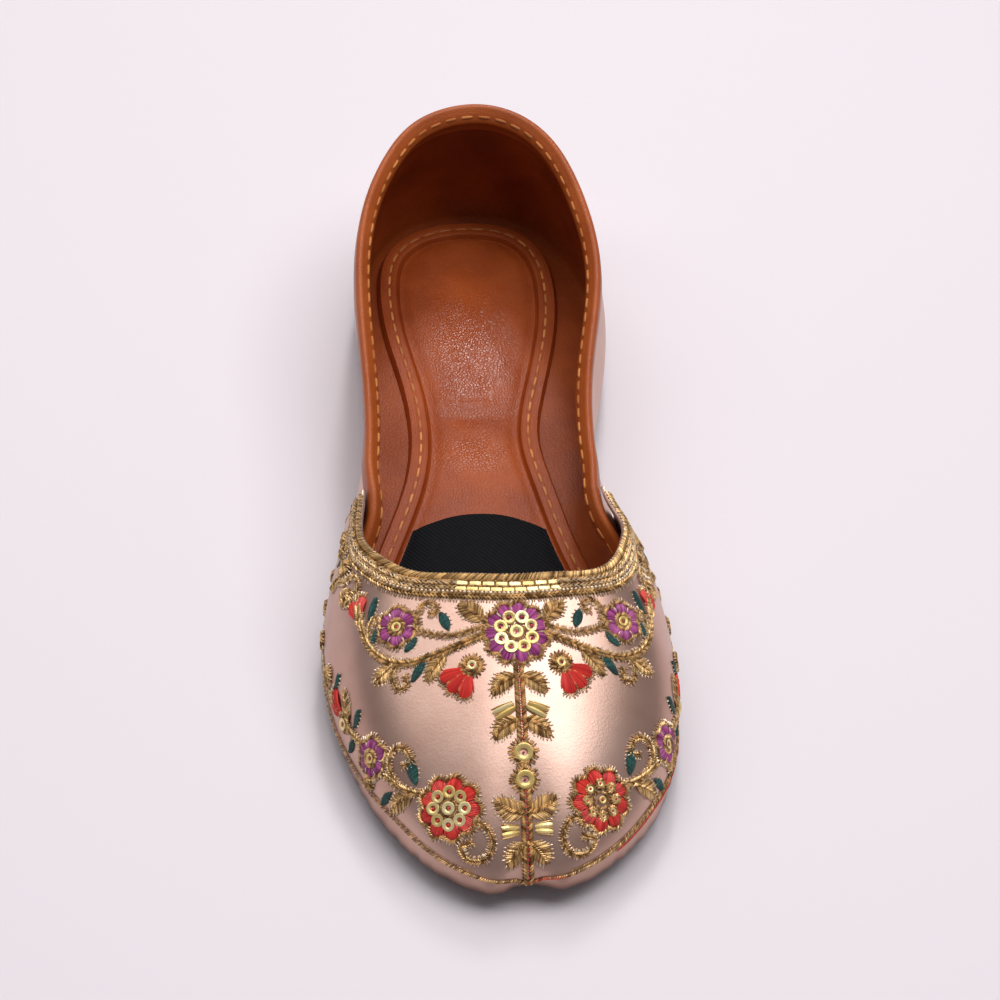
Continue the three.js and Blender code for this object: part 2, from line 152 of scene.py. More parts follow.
HEADINGS = np.radians([row[0] for row in SECTIONS.values()])
RAIL = {
    "hx": loop(np.cos(HEADINGS), sign=-1),
    "hy": loop(-np.sin(HEADINGS)),
    "fx": loop(column("foot_inner", FOOT_WIDTH), column("foot_outer", FOOT_WIDTH), -1),
    "fy": loop(column("foot_along", LENGTH)),
    "bulge": loop(column("bulge", FOOT_WIDTH)),
    "rise": loop(column("rise", HEEL_HEIGHT)),
    "ex": loop(column("edge_inner", FOOT_WIDTH), column("edge_outer", FOOT_WIDTH), -1),
    "ey": loop(column("edge_along", LENGTH)),
    "ez": loop(column("edge_up", HEEL_HEIGHT)),
    "reach": loop(column("reach", FOOT_WIDTH)),
    "drop": loop(column("drop", HEEL_HEIGHT)),
}
UP = np.array([0.0, 0.0, 1.0])


def unit(p):
    return p / np.linalg.norm(p, axis=-1)[..., None]


def sole_bottom(y):
    """Underside of the outsole: flat at heel and ball, raised at the waist, sprung at the toe."""
    start = SPRING_START * LENGTH / 100
    spring = np.clip((start - y) / (start + LENGTH / 2), 0, 1.1)
    rear, front = HEEL_PAD * LENGTH / 100, BALL_PAD * LENGTH / 100
    waist = np.clip((y - front) / (rear - front), 0, 1)
    return TOE_SPRING * spring ** 2 + ARCH_RISE * np.sin(np.pi * waist) ** 2


def sole_top(y):
    return sole_bottom(y) + OUTSOLE


def cleft(p):
    """The cleft pulls everything near the toe's tip back towards the heel."""
    x, y, z = p[..., 0], p[..., 1], p[..., 2]
    near = np.clip(1 - (y + LENGTH / 2) / NOTCH_RUN, 0, 1.3)
    side = np.exp(-((x - NOTCH_SIDE) / NOTCH_WIDTH) ** 2)
    return np.stack([x, y + NOTCH_DEPTH * side * near ** 2 * (3 - 2 * np.minimum(near, 1)), z], -1)


def facing(t):
    return unit(np.stack([RAIL["hx"](t), RAIL["hy"](t), 0 * RAIL["hx"](t)], -1))


def last_face(t, v):
    """Outer face of the quarter and its run on under the vamp: t goes round the shoe, v up the wall."""
    t, v = np.broadcast_arrays(np.asarray(t, float), np.asarray(v, float))
    h, v = facing(t), v[..., None]
    foot = np.stack([RAIL["fx"](t), RAIL["fy"](t), 0 * t], -1)
    foot[..., 2] = sole_top(cleft(foot)[..., 1]) + GAP
    edge = np.stack([RAIL["ex"](t), RAIL["ey"](t), RAIL["ez"](t)], -1)
    low = foot + h * RAIL["bulge"](t)[..., None] + UP * RAIL["rise"](t)[..., None]
    high = edge + h * RAIL["reach"](t)[..., None] - UP * RAIL["drop"](t)[..., None]
    w = 1 - v
    return w ** 3 * foot + 3 * w * w * v * low + 3 * w * v * v * high + v ** 3 * edge


def frame_at(t, v):
    """Ways out of the wall and up it."""
    t, v = np.broadcast_arrays(np.asarray(t, float), np.asarray(v, float))
    up = unit(last_face(t, np.minimum(v + TINY, 1)) - last_face(t, np.maximum(v - TINY, 0)))
    along = unit(last_face(t + TINY, v) - last_face(t - TINY, v))
    return unit(np.cross(up, along)), up


def wall(t, v, off):
    """A point at a height off that face, in the finished shoe; the lower rim stays level with the sole."""
    t, v, off = np.broadcast_arrays(*(np.asarray(a, float) for a in (t, v, off)))
    out = frame_at(t, v)[0]
    out[..., 2] *= smooth(0, 0.25, v)
    return cleft(last_face(t, v) + out * off[..., None])


def past(t):
    """Sections from the middle of the heel, on either side."""
    t = np.asarray(t, float) % ROUND
    return np.minimum(t, ROUND - t)


def down(t, mm):
    """Share up the wall of a place some millimetres below the raw edge."""
    speed = np.linalg.norm(last_face(t, 1) - last_face(t, 1 - TINY), axis=-1) / TINY
    return 1 - mm / speed


def sole_outline(t, out):
    """The sole's edge seen from above, pushed out by a distance."""
    foot = np.stack([RAIL["fx"](t), RAIL["fy"](t), 0 * t], -1)
    return cleft(foot + facing(t) * np.asarray(out, float)[..., None])


insole_x = loop(shares(INSOLE_ROWS, 1, FOOT_WIDTH), shares(INSOLE_ROWS, 2, FOOT_WIDTH), -1)
insole_y = loop(shares(INSOLE_ROWS, 0, LENGTH))
INSOLE_ROUND = 2 * (len(INSOLE_ROWS) - 1)


def insole_edge(t, depth):
    """Outline of the insole, pushed in by a distance."""
    dx, dy = insole_x(t + TINY) - insole_x(t - TINY), insole_y(t + TINY) - insole_y(t - TINY)
    size = np.hypot(dx, dy)
    return np.stack([insole_x(t) + dy / size * depth, insole_y(t) - dx / size * depth, 0 * size], -1)


# The frame stands centred on its origin: the sole's outline says how far it was moved
rim = sole_outline(np.linspace(0, ROUND, 2601), SOLE_LIP)
low_corner, high_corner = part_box("outsole")
PLACE = np.array([
    (low_corner.x + high_corner.x) / 2 / MM - (rim[:, 0].min() + rim[:, 0].max()) / 2,
    (low_corner.y + high_corner.y) / 2 / MM - (rim[:, 1].min() + rim[:, 1].max()) / 2,
    0.0,
])


# Making pieces

def clear_selection():
    if bpy.context.object and bpy.context.object.mode != "OBJECT":
        bpy.ops.object.mode_set(mode="OBJECT")
    bpy.ops.object.select_all(action="DESELECT")


def pick(piece):
    clear_selection()
    piece.select_set(True)
    bpy.context.view_layer.objects.active = piece


def in_edit_mode(piece, work):
    pick(piece)
    bpy.ops.object.mode_set(mode="EDIT")
    bpy.ops.mesh.select_all(action="SELECT")
    work()
    bpy.ops.object.mode_set(mode="OBJECT")


def apply_modifier(piece, name, kind, **settings):
    pick(piece)
    modifier = piece.modifiers.new(name, kind)
    for key, value in settings.items():
        setattr(modifier, key, value)
    bpy.ops.object.modifier_apply(modifier=modifier.name)


def read_places(piece):
    places = np.empty(len(piece.data.vertices) * 3)
    piece.data.vertices.foreach_get("co", places)
    return places.reshape(-1, 3)


def write_places(piece, millimetres):
    piece.data.vertices.foreach_set("co", ((millimetres + PLACE) * MM).ravel())
    piece.data.update()


def sheet(name, columns, rows, place, flip=False, closed=False):
    """A grid added flat, then shaped by place(u, v) with u and v from 0 to 1 across it."""
    clear_selection()
    bpy.ops.mesh.primitive_grid_add(x_subdivisions=columns, y_subdivisions=rows, size=1)
    piece = bpy.context.object
    piece.name = piece.data.name = name
    flat = read_places(piece)
    write_places(piece, place(flat[:, 0] + 0.5, flat[:, 1] + 0.5))
    if closed:
        in_edit_mode(piece, lambda: bpy.ops.mesh.remove_doubles(threshold=2e-6))
    if flip:
        in_edit_mode(piece, bpy.ops.mesh.flip_normals)
    return piece


def sheet_through(name, grid, around):
    """A sheet through a grid of points, (first way, second way, 3), closed in the way that around counts."""
    first, second = grid.shape[:2]
    columns, rows = (first, second - 1) if around == 0 else (first - 1, second)

    def place(u, v):
        return grid[np.rint(u * columns).astype(int) % first, np.rint(v * rows).astype(int) % second]
    return sheet(name, columns, rows, place, closed=True)


def face_outward(piece):
    in_edit_mode(piece, lambda: bpy.ops.mesh.normals_make_consistent(inside=False))


def swept(name, rings):
    """A solid swept through rings of points, (ring, point, 3), with its ends filled."""
    piece = sheet_through(name, rings, around=1)
    in_edit_mode(piece, fill_open_edges)
    face_outward(piece)
    return piece


def fill_open_edges():
    bpy.ops.mesh.select_all(action="DESELECT")
    bpy.ops.mesh.select_mode(type="EDGE")
    bpy.ops.mesh.select_non_manifold(extend=False, use_wire=False, use_boundary=True,
                                     use_multi_face=False, use_non_contiguous=False, use_verts=False)
    bpy.ops.mesh.fill_holes(sides=0)
    bpy.ops.mesh.select_all(action="SELECT")


def finished(piece, material, node=None, angle=40):
    """Smooth shading, the piece's finish, and its place in the frame."""
    pick(piece)
    bpy.ops.object.shade_smooth_by_angle(angle=math.radians(angle))
    piece.data.materials.clear()
    piece.data.materials.append(material)
    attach(piece, "root")
    if node:
        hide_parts(node)
    return piece


# Materials

# Outputs by number: object coordinates, the result of a colour mix, an attribute's factor
OBJECT_OUT, MIXED_OUT, FACTOR_OUT = 3, 2, 2


class Value:
    """An output socket; arithmetic on it adds Math nodes."""

    def __init__(self, finish, socket):
        self.finish = finish
        self.socket = socket

    def math(self, operation, other):
        return self.finish.node("ShaderNodeMath", {"operation": operation}, {0: self, 1: other})

    def __add__(self, other):
        return self.math("ADD", other)

    def __sub__(self, other):
        return self.math("SUBTRACT", other)

    def __mul__(self, other):
        return self.math("MULTIPLY", other)


class Finish:
    """A material under construction: its nodes and its shader."""

    def __init__(self, name, **constants):
        self.material = bpy.data.materials.new(name)
        self.material.use_nodes = True
        self.tree = self.material.node_tree
        self.tree.nodes.clear()
        self.shader = self.tree.nodes.new("ShaderNodeBsdfPrincipled")
        output = self.tree.nodes.new("ShaderNodeOutputMaterial")
        self.tree.links.new(self.shader.outputs[0], output.inputs["Surface"])
        self.set(**constants)

    def node(self, kind, settings=None, sockets=None, out=0):
        node = self.tree.nodes.new(kind)
        for key, value in (settings or {}).items():
            if key == "stops":
                self.set_stops(node.color_ramp, value)
            else:
                setattr(node, key, value)
        for key, value in (sockets or {}).items():
            self.feed(node.inputs[key], value)
        return Value(self, node.outputs[out])

    def feed(self, socket, value):
        if isinstance(value, Value):
            self.tree.links.new(value.socket, socket)
        elif isinstance(value, tuple) and len(value) == 3 and socket.type == "RGBA":
            socket.default_value = (*value, 1.0)
        else:
            socket.default_value = value

    @staticmethod
    def set_stops(ramp, stops):
        while len(ramp.elements) < len(stops):
            ramp.elements.new(1.0)
        for element, (place, shade) in zip(ramp.elements, stops):
            element.position = place
            element.color = (*shade, 1.0) if isinstance(shade, tuple) else (shade, shade, shade, 1.0)

    def set(self, **sockets):
        for name, value in sockets.items():
            self.feed(self.shader.inputs[name.replace("_", " ")], value)

    def place(self):
        return self.node("ShaderNodeTexCoord", out=OBJECT_OUT)

    def noise(self, size_mm, detail, where=None):
        return self.node("ShaderNodeTexNoise", {}, {
            "Vector": where or self.place(), "Scale": 1000 / size_mm, "Detail": detail, "Roughness": 0.55})

    def cells(self, size_mm, feature="F1"):
        return self.node("ShaderNodeTexVoronoi", {"feature": feature}, {
            "Vector": self.place(), "Scale": 1000 / size_mm})

    def ribs(self, scale, distortion, detail, detail_scale=1.0):
        """Fine diagonal ribs."""
        return self.node("ShaderNodeTexWave", {"wave_type": "BANDS", "bands_direction": "DIAGONAL"}, {
            "Vector": self.place(), "Scale": scale, "Distortion": distortion, "Detail": detail,
            "Detail Scale": detail_scale})

    def steps(self, value, stops):
        return self.node("ShaderNodeValToRGB", {"stops": stops}, {0: value})

    def mix(self, factor, first, second):
        return self.node("ShaderNodeMix", {"data_type": "RGBA"}, {0: factor, 6: first, 7: second}, MIXED_OUT)

    def dye(self, factor, first, second):
        self.set(Base_Color=self.mix(factor, first, second))

    def attribute(self, name):
        return self.node("ShaderNodeAttribute", {"attribute_name": name}, out=FACTOR_OUT)

    def spot(self, middle, reach):
        """1 at a place seen from above, falling to 0 at an oval round it, in mm."""
        away = 0.0
        for axis in (0, 1):
            along = self.node("ShaderNodeSeparateXYZ", {}, {0: self.place()}, out=axis)
            step = (along - float(middle[axis] + PLACE[axis]) * MM) * (1 / (reach[axis] * MM))
            away = step * step + away
        return self.steps(away, [(0.0, 1.0), (1.0, 0.0)])

    def bump(self, height, depth_mm, strength):
        normal = self.node("ShaderNodeBump", {}, {
            "Strength": strength, "Distance": depth_mm * MM, "Height": height})
        self.set(Normal=normal)


def rose_leather():
    """Foiled rose-gold leather: a metal film on a fine grain, with faint rubs, and painted shade from the
    vamp's attribute.
    """
    f = Finish("rose_foil_leather", Metallic=0.94)
    cloud = f.steps(f.noise(26, 4), [(0.35, 0.0), (0.68, 1.0)])
    # the dark brown mixed in by the vamp's attribute is painted shade
    f.dye(f.attribute("soil"), f.mix(cloud, (0.59, 0.365, 0.288), (0.71, 0.475, 0.392)), (0.16, 0.085, 0.062))
    f.set(Roughness=f.noise(14, 5) * 0.14 + 0.31)
    grain = f.cells(0.55) * 0.5 + f.noise(0.5, 2) * 0.4 + f.noise(7.0, 3) * 1.6
    f.bump(grain, 0.04, 0.6)
    return f.material


def tan_leather(name, grain_mm, dullness, deep, pale, relief=0.55, worn=()):
    """Smooth tan leather with a pebble grain and cloudy dye, polished by wear in spots."""
    f = Finish(name, Specular_IOR_Level=0.32)
    f.dye(f.steps(f.noise(18, 5), [(0.3, 0.0), (0.7, 1.0)]), deep, pale)
    rough = f.noise(9, 4) * 0.14 + dullness
    for middle, reach, polish in worn:
        rough = rough - f.spot(middle, reach) * polish
    f.set(Roughness=rough)
    pebbles = f.steps(f.cells(grain_mm, "DISTANCE_TO_EDGE"), [(0.0, 0.0), (0.16, 0.7), (0.5, 1.0)])
    f.bump(pebbles + f.noise(grain_mm * 0.6, 2) * 0.5 + f.noise(11, 3) * 1.4, 0.09, relief)
    return f.material


def mauve_backing():
    """Napped backing on the inside of the vamp."""
    f = Finish("vamp_backing", Roughness=0.85)
    f.dye(f.noise(3, 5), (0.38, 0.22, 0.18), (0.56, 0.37, 0.32))
    f.bump(f.noise(0.5, 3), 0.1, 0.6)
    return f.material


def sole_board():
    """Brown board of the outsole, its edge trimmed and lightly scuffed."""
    f = Finish("sole_board", Roughness=0.62)
    layers = f.noise(1.2, 4, where=f.node("ShaderNodeMapping", {}, {0: f.place(), 3: (0.12, 0.12, 2.2)}))
    f.dye(f.steps(layers, [(0.3, 0.0), (0.75, 1.0)]), (0.085, 0.04, 0.028), (0.20, 0.105, 0.078))
    f.bump(layers * 0.8 + f.noise(0.7, 4), 0.14, 0.6)
    return f.material


def black_twill():
    """Black woven tape: fine diagonal ribs with a dull sheen."""
    f = Finish("black_twill", Specular_IOR_Level=0.12)
    ribs = f.ribs(430.0, 0.6, 2.0, 2.0)
    f.dye(ribs, (0.0016, 0.0016, 0.0022), (0.0068, 0.0068, 0.0092))
    f.set(Roughness=f.noise(1.5, 2) * 0.2 + 0.6)
    f.bump(ribs + f.noise(0.4, 2) * 0.4, 0.16, 0.8)
    return f.material


def plain_floor():
    f = Finish("pale_floor", Roughness=0.6)
    f.dye(f.noise(400, 2), (0.77, 0.705, 0.745), (0.79, 0.73, 0.77))
    return f.material


def thread(name, dark, pale, metallic, rough, sheen=0.0):
    """Spun thread: its tone differs from stitch to stitch, with a fine twist."""
    f = Finish(name, Metallic=metallic, Sheen_Weight=sheen)
    f.dye(f.attribute("tone"), dark, pale)
    f.set(Roughness=f.noise(0.6, 2) * 0.15 + rough)
    f.bump(f.ribs(900.0, 3.0, 1.0), 0.05, 0.5)
    return f.material


def sequin_foil():
    """Pale gold foil, brighter on some sequins than on others."""
    f = Finish("sequin_foil", Metallic=0.5)
    f.dye(f.attribute("tone"), (0.78, 0.55, 0.18), (0.98, 0.82, 0.42))
    f.set(Roughness=f.noise(1.2, 2) * 0.14 + 0.24)
    f.bump(f.noise(0.8, 2), 0.10, 0.8)
    return f.material


ROSE = rose_leather()
INSOLE_WEAR = (                          # middle and reach in mm, how much smoother
    ((-2, 66), (17, 38), 0.25), ((-4, 24), (14, 9), 0.20),
)
TAN_LINING = tan_leather("tan_lining", 1.1, 0.40, (0.215, 0.035, 0.006), (0.36, 0.070, 0.012))
TAN_BINDING = tan_leather("tan_binding", 0.7, 0.28, (0.33, 0.066, 0.012), (0.44, 0.100, 0.020))
TAN_INSOLE = tan_leather("tan_insole", 0.9, 0.38, (0.28, 0.046, 0.007), (0.41, 0.078, 0.012),
                         relief=0.62, worn=INSOLE_WEAR)
BACKING = mauve_backing()
BOARD = sole_board()
TWILL = black_twill()
SEAM_THREAD = thread("seam_thread", (0.46, 0.14, 0.030), (0.70, 0.27, 0.072), 0.0, 0.5)
ROSE_THREAD = thread("rose_thread", (0.42, 0.25, 0.20), (0.62, 0.42, 0.35), 0.1, 0.45)
OLIVE = thread("olive_gold_thread", (0.17, 0.072, 0.017), (0.98, 0.64, 0.28), 0.55, 0.27)
BRIGHT = thread("bright_gold_thread", (0.62, 0.40, 0.22), (0.98, 0.82, 0.62), 0.45, 0.26)
PURPLE = thread("purple_floss", (0.20, 0.014, 0.11), (0.54, 0.11, 0.36), 0.0, 0.33, 0.1)
RED = thread("red_floss", (0.48, 0.008, 0.008), (0.84, 0.050, 0.030), 0.0, 0.36, 0.1)
GREEN = thread("green_floss", (0.005, 0.038, 0.036), (0.025, 0.120, 0.105), 0.0, 0.38, 0.1)
FOIL = sequin_foil()


# Upper

VAMP_THICK = 1.1
VAMP_SPAN = ROUND - 2 * WING             # sections from wing to wing round the toe
# the darker flank is painted shade in the vamp's colour
SHADED_FLANK = 17.2                         # section at the middle of the darker flank
TOE_FULL = 1.3
QUARTER_THICK = 0.9
LINING_TURN = 0.14                       # share of the quarter's lining that turns in over the sole
LINING_REACH = 16.0
TUCK_T = WING + TUCK_END                 # sections from the heel to the quarter's front end
UNDER_VAMP = 0.35                        # how far the quarter draws in under the vamp


def under_wing(t):
    """How far a place is under the vamp's wing: 0 at the wing's edge, 1 at the quarter's front end."""
    return np.clip((past(t) - WING) / TUCK_END, 0, 1)


def quarter_top(t):
    return 1 - TUCK_FALL * under_wing(t) ** 1.2


def tuck_away(t):
    """The quarter's top draws in before the wing, so that its binding passes inside the vamp."""
    return TUCK_CLEAR * smooth(-0.30, 0.30, (past(t) - WING) / TUCK_END)


def wrinkles(t, v):
    """Small lasting pleats of the vamp just above the sole, and soft rises over it."""
    low = np.exp(-((v - 0.03) / 0.055) ** 2)
    pleat = np.sin(t * 21 + 2.2 * np.sin(t * 5.3)) * np.sin(t * 8.7 + 1.1)
    swell = np.sin(t * 2.9 + 1.7) * np.sin(v * 9 + t) * smooth(0.1, 0.3, v) * smooth(1.0, 0.75, v)
    return 0.28 * low * pleat + 0.12 * swell


def toe_share(t):
    """0 at the wings, 1 round the toe."""
    return smooth(WING + 1, WING + 4, past(t))


def vamp_face(t, v, lift=0.0):
    """The vamp's outer face, full and drawn down over the sole's edge round the toe."""
    foot = np.exp(-(np.asarray(v, float) / 0.09) ** 2) * toe_share(t)
    p = wall(t, v, VAMP_STEP + TOE_FULL * foot + wrinkles(t, v) + lift)
    p[..., 2] -= TOE_FULL * foot
    return p


def vamp():
    """Outer leather of the vamp, with shade painted at its foot and on one flank."""
    columns, rows = 360, 100
    piece = sheet("vamp", columns, rows, lambda u, v: vamp_face(WING + VAMP_SPAN * u, v), flip=True)
    v = np.repeat(np.linspace(0, 1, rows + 1), columns + 1)
    t = np.tile(WING + VAMP_SPAN * np.linspace(0, 1, columns + 1), rows + 1)
    # painted shade: darker at the vamp's foot, most round the toe, and on one flank, where the leather lies
    # in shade
    soil = 0.80 * smooth(0.085, 0.015, v) + 0.15 * smooth(0.13, 0.08, v)
    soil *= 0.35 + 0.65 * toe_share(t)
    soil += 0.24 * np.exp(-((t - SHADED_FLANK) / 1.5) ** 2) * smooth(0.10, 0.35, v)
    piece.data.attributes.new("soil", "FLOAT", "POINT").data.foreach_set("value", soil)
    apply_modifier(piece, "wall", "SOLIDIFY", thickness=VAMP_THICK * MM, offset=-1.0, use_even_offset=True)
    apply_modifier(piece, "edge", "BEVEL", width=0.25 * MM, segments=2, limit_method="ANGLE",
                   angle_limit=math.radians(60))
    return finished(piece, ROSE, "upper")


def vamp_lining():
    """Thin backing inside the vamp, short of its edges all round."""
    def place(u, v):
        t = WING + 0.12 + (VAMP_SPAN - 0.24) * u
        return wall(t, 0.03 + 0.955 * v, VAMP_STEP - VAMP_THICK - 0.12)
    piece = sheet("vamp_backing", 200, 48, place)
    apply_modifier(piece, "wall", "SOLIDIFY", thickness=0.35 * MM, offset=-1.0)
    return finished(piece, BACKING, "upper")


def under_vamp(t):
    return smooth(WING - 0.05, WING + 0.25, past(t)) * UNDER_VAMP


def quarter_face(t, v):
    return wall(t, v, -under_vamp(t) - tuck_away(t) * smooth(0.1, 0.8, v))


def quarter():
    """Outer leather of the quarter, on under the vamp's wings."""
    def place(u, v):
        t = -TUCK_T + 2 * TUCK_T * u
        return quarter_face(t, v * quarter_top(t))
    piece = sheet("quarter", 320, 48, place, flip=True)
    apply_modifier(piece, "wall", "SOLIDIFY", thickness=QUARTER_THICK * MM, offset=-1.0)
    return finished(piece, ROSE, "upper")


def quarter_lining():
    """Tan lining: down the inside of the quarter, round its foot and in over the sole."""
    def place(u, v):
        t = -TUCK_T + 2 * TUCK_T * u
        rise = np.clip((v - LINING_TURN) / (1 - LINING_TURN), 0, 1)
        inset = QUARTER_THICK + 0.05 + tuck_away(t) * smooth(0.1, 0.8, rise)
        p = wall(t, 0.02 + (quarter_top(t) - 0.02) * rise, -inset - under_vamp(t))
        foot = np.clip((LINING_TURN - v) / LINING_TURN, 0, 1)[:, None]
        floor_point = p - facing(t) * foot * LINING_REACH
        floor_point[:, 2] = sole_top(p[:, 1]) + 0.6 + 1.3 * np.sin(foot[:, 0] * np.pi / 2)
        return np.where(foot > 0, floor_point, p)
    piece = sheet("quarter_lining", 320, 60, place)
    apply_modifier(piece, "soften", "SMOOTH", iterations=3, factor=0.5)
    apply_modifier(piece, "wall", "SOLIDIFY", thickness=0.75 * MM, offset=-1.0)
    return finished(piece, TAN_LINING, "upper")


COLLAR_ROLL = 1.25
COLLAR_SLOPE = (                         # out of the wall, up from the raw edge; from the roll inward
    (-1.75, 0.95), (-2.25, 0.42), (-2.50, 0.02), (-2.72, -0.30), (-3.12, -1.10), (-3.32, -1.75),
    (-3.25, -2.20), (-2.95, -2.50), (-2.60, -4.40), (-2.30, -5.55),
)
COLLAR_SEAM = (-2.50, -0.08)


def collar_base(side):
    """The raw edge, the ways out of the wall there and up it."""
    v = quarter_top(side)
    out, up = frame_at(side, v)
    return last_face(side, v) - out * tuck_away(side)[:, None], out, up


def collar_binding():
    """Strip rolled over the raw edge: a round roll outside, then a slope in to its cut edge."""
    inner, outer = -WALL - GAP * 0.5, GAP * 0.5
    middle = outer + BINDING - COLLAR_ROLL
    section = [(outer, -BINDING_OUTER), (outer + BINDING * 0.55, -BINDING_OUTER - 0.12),
               (outer + BINDING, -BINDING_OUTER + 0.3)]
    for angle in np.linspace(0, 0.78 * np.pi, 10):
        rise = GAP + (BINDING + BINDING_CROWN) * np.sin(angle) ** 0.8
        section.append((middle + COLLAR_ROLL * np.cos(angle), rise))
    section += [*COLLAR_SLOPE, (inner, -BINDING_INNER + 0.1), (inner, GAP * 0.6), (outer, GAP * 0.6)]
    base, out, up = collar_base(np.linspace(-TUCK_T, TUCK_T, 520))
    rings = np.stack([cleft(base + out * n + up * h) for n, h in section], 1)
    piece = swept("collar_binding_roll", rings)
    return finished(piece, TAN_BINDING, "collar_binding", angle=60)


# Sole and insole

OUTSOLE_DEEP = 8.0                       # places further in than this close on the middle line
OUTSOLE_PROFILE = (                      # distance in from the lip, share up the edge
    (30.0, 1.0), (OUTSOLE_DEEP, 1.0), (0.6, 1.0), (0.25, 0.95), (0.2, 0.80), (0.7, 0.45), (1.3, 0.15),
    (1.9, 0.0), (6.0, 0.0), (30.0, 0.0),
)


def outsole():
    """Board of the sole, its edge rounded and its faces closed along the middle."""
    t = np.linspace(0, ROUND, 520, endpoint=False)
    rings = []
    for depth, height in OUTSOLE_PROFILE:
        p = sole_outline(t, SOLE_LIP + TOE_FULL * toe_share(t) - min(depth, OUTSOLE_DEEP))
        if depth > OUTSOLE_DEEP:
            p[:, 0] *= 0.02
        p[:, 2] = sole_bottom(p[:, 1]) + height * OUTSOLE
        rings.append(p)
    piece = sheet_through("outsole_board", np.stack(rings, 1), around=0)
    face_outward(piece)
    return finished(piece, BOARD, "outsole")


def insole_floor(y):
    return sole_top(y) + GAP


def insole_height(depth):
    """Height of the insole at a depth: rolled rim, flat band, groove, soft middle."""
    rim = INSOLE * np.clip(depth / INSOLE_ROLL, 0, 1) ** 0.45
    band = 0.22 * np.sin(np.pi * np.clip(depth / INSOLE_BORDER, 0, 1)) - 0.1
    step = INSOLE_STEP * smooth(INSOLE_BORDER - 0.35, INSOLE_BORDER + 0.15, depth)
    groove = 0.60 * np.exp(-((depth - INSOLE_BORDER - 0.2) / 0.30) ** 2)
    groove += 0.40 * np.exp(-((depth - INSOLE_BORDER - 1.4) / 1.6) ** 2)
    pull = 0.26 * np.exp(-((depth - INSOLE_SEAM) / 0.5) ** 2)
    cushion = 0.35 * smooth(INSOLE_BORDER + 1, INSOLE_BORDER + 9, depth)
    return rim + band - step - groove - pull + cushion - INSOLE_SINK


def insole_detail(x, y, depth):
    """The worn middle: a short cross crease over a soft trough, and a few shallow waves."""
    aside, ahead = x - CREASE_ACROSS, y - CREASE_ALONG
    crease = 0.40 * np.exp(-(ahead / 0.9) ** 2) * np.exp(-(aside / 6.0) ** 2)
    trough = 0.60 * np.exp(-((ahead + 4.5) / 3.6) ** 2) * np.exp(-(aside / 9.0) ** 2)
    waves = 0.10 * np.sin(x * 0.23 + 0.6) * np.sin(y * 0.11) + 0.07 * np.sin(x * 0.51 + y * 0.19)
    return (crease - trough + waves) * smooth(3, 8, depth)


def insole():
    """Padded bed: rings from its foot in to the band's groove, then rungs across its top and underneath."""
    t = np.linspace(0, INSOLE_ROUND, 480, endpoint=False)
    rings = [insole_edge(t, depth) for depth in INSOLE_DEPTHS]
    for k, (p, depth) in enumerate(zip(rings, INSOLE_DEPTHS)):
        p[:, 2] = insole_floor(p[:, 1])
        if k:
            p[:, 2] += insole_height(depth) + insole_detail(p[:, 0], p[:, 1], depth)
    piece = sheet_through("insole_pad", np.stack(rings, 1), around=0)
    join(piece, [insole_middle(rings[-1]), insole_under(rings[0])])
    in_edit_mode(piece, lambda: bpy.ops.mesh.remove_doubles(threshold=3e-6))
    face_outward(piece)
    finished(piece, TAN_INSOLE, "insole")
    return piece


def rungs(name, across, rim, height):
    """A sheet of rungs between the two sides of a ring; height(p, u, a, b, end) gives their z."""
    half = len(rim) // 2

    def place(u, v):
        k = np.rint(v * half).astype(int)
        a, b = rim[k], rim[(len(rim) - k) % len(rim)]
        p = a + (b - a) * u[:, None]
        p[:, 2] = height(p, u, a, b, np.minimum(k, half - k) * LENGTH / half)
        return p
    return sheet(name, across, half, place)


def insole_middle(rim):
    def height(p, u, a, b, end):
        inside = np.minimum(u, 1 - u) * np.linalg.norm(b - a, axis=1)
        depth = INSOLE_DEPTHS[-1]
        z = insole_floor(p[:, 1]) + insole_height(depth + np.minimum(inside, end * 0.8))
        z += insole_detail(p[:, 0], p[:, 1], depth + inside)
        return np.where(u < 1e-6, a[:, 2], np.where(u > 1 - 1e-6, b[:, 2], z))
    return rungs("insole_middle", 44, rim, height)


def insole_under(rim):
    return rungs("insole_under", 4, rim, lambda p, u, a, b, end: insole_floor(p[:, 1]))


def join(piece, others):
    clear_selection()
    for other in others:
        other.select_set(True)
    piece.select_set(True)
    bpy.context.view_layer.objects.active = piece
    bpy.ops.object.join()


def insole_side(y, outer):
    """Where the insole's middle ends on one side, at places along the shoe."""
    s = np.linspace(2, len(INSOLE_ROWS) - 3, 400)
    edge = insole_edge(INSOLE_ROUND - s if outer else s, INSOLE_BORDER + INSOLE_STEP + PATCH_CLEAR)
    return np.interp(-y, -edge[:, 1], edge[:, 0])


def label_patch():
    """Bare woven patch across the insole, with turned ends."""
    rear = PATCH_REAR * LENGTH / 100

    def place(u, v):
        y = rear - PATCH_CROWN * (2 * u - 1) ** 2 * v - PATCH_LENGTH * (1 - v)
        inner, outer = insole_side(y, False), insole_side(y, True)
        x = inner + (outer - inner) * u
        inside = np.minimum(u, 1 - u) * (inner - outer)
        depth = INSOLE_BORDER + 1 + inside
        z = insole_floor(y) + insole_height(depth) + insole_detail(x, y, depth)
        hem = 0.14 * (np.exp(-((v - 0.07) / 0.03) ** 2) - 0.5 * np.exp(-((v - 0.12) / 0.02) ** 2))
        ripple = 0.10 * np.sin(u * 17) * np.sin(v * 3.1)
        return np.stack([x, y, z + 0.32 + PATCH * 0.5 + hem + ripple], -1)
    piece = sheet("label_patch_twill", 96, 60, place, flip=True)
    apply_modifier(piece, "cloth", "SOLIDIFY", thickness=0.4 * MM, offset=-1.0)
    return finished(piece, TWILL, "label_patch")


# Thread work

RANDOM = np.random.default_rng(11)
BRIGHTEST = 0.76                         # tones above this are raised to the palest colour: painted glints
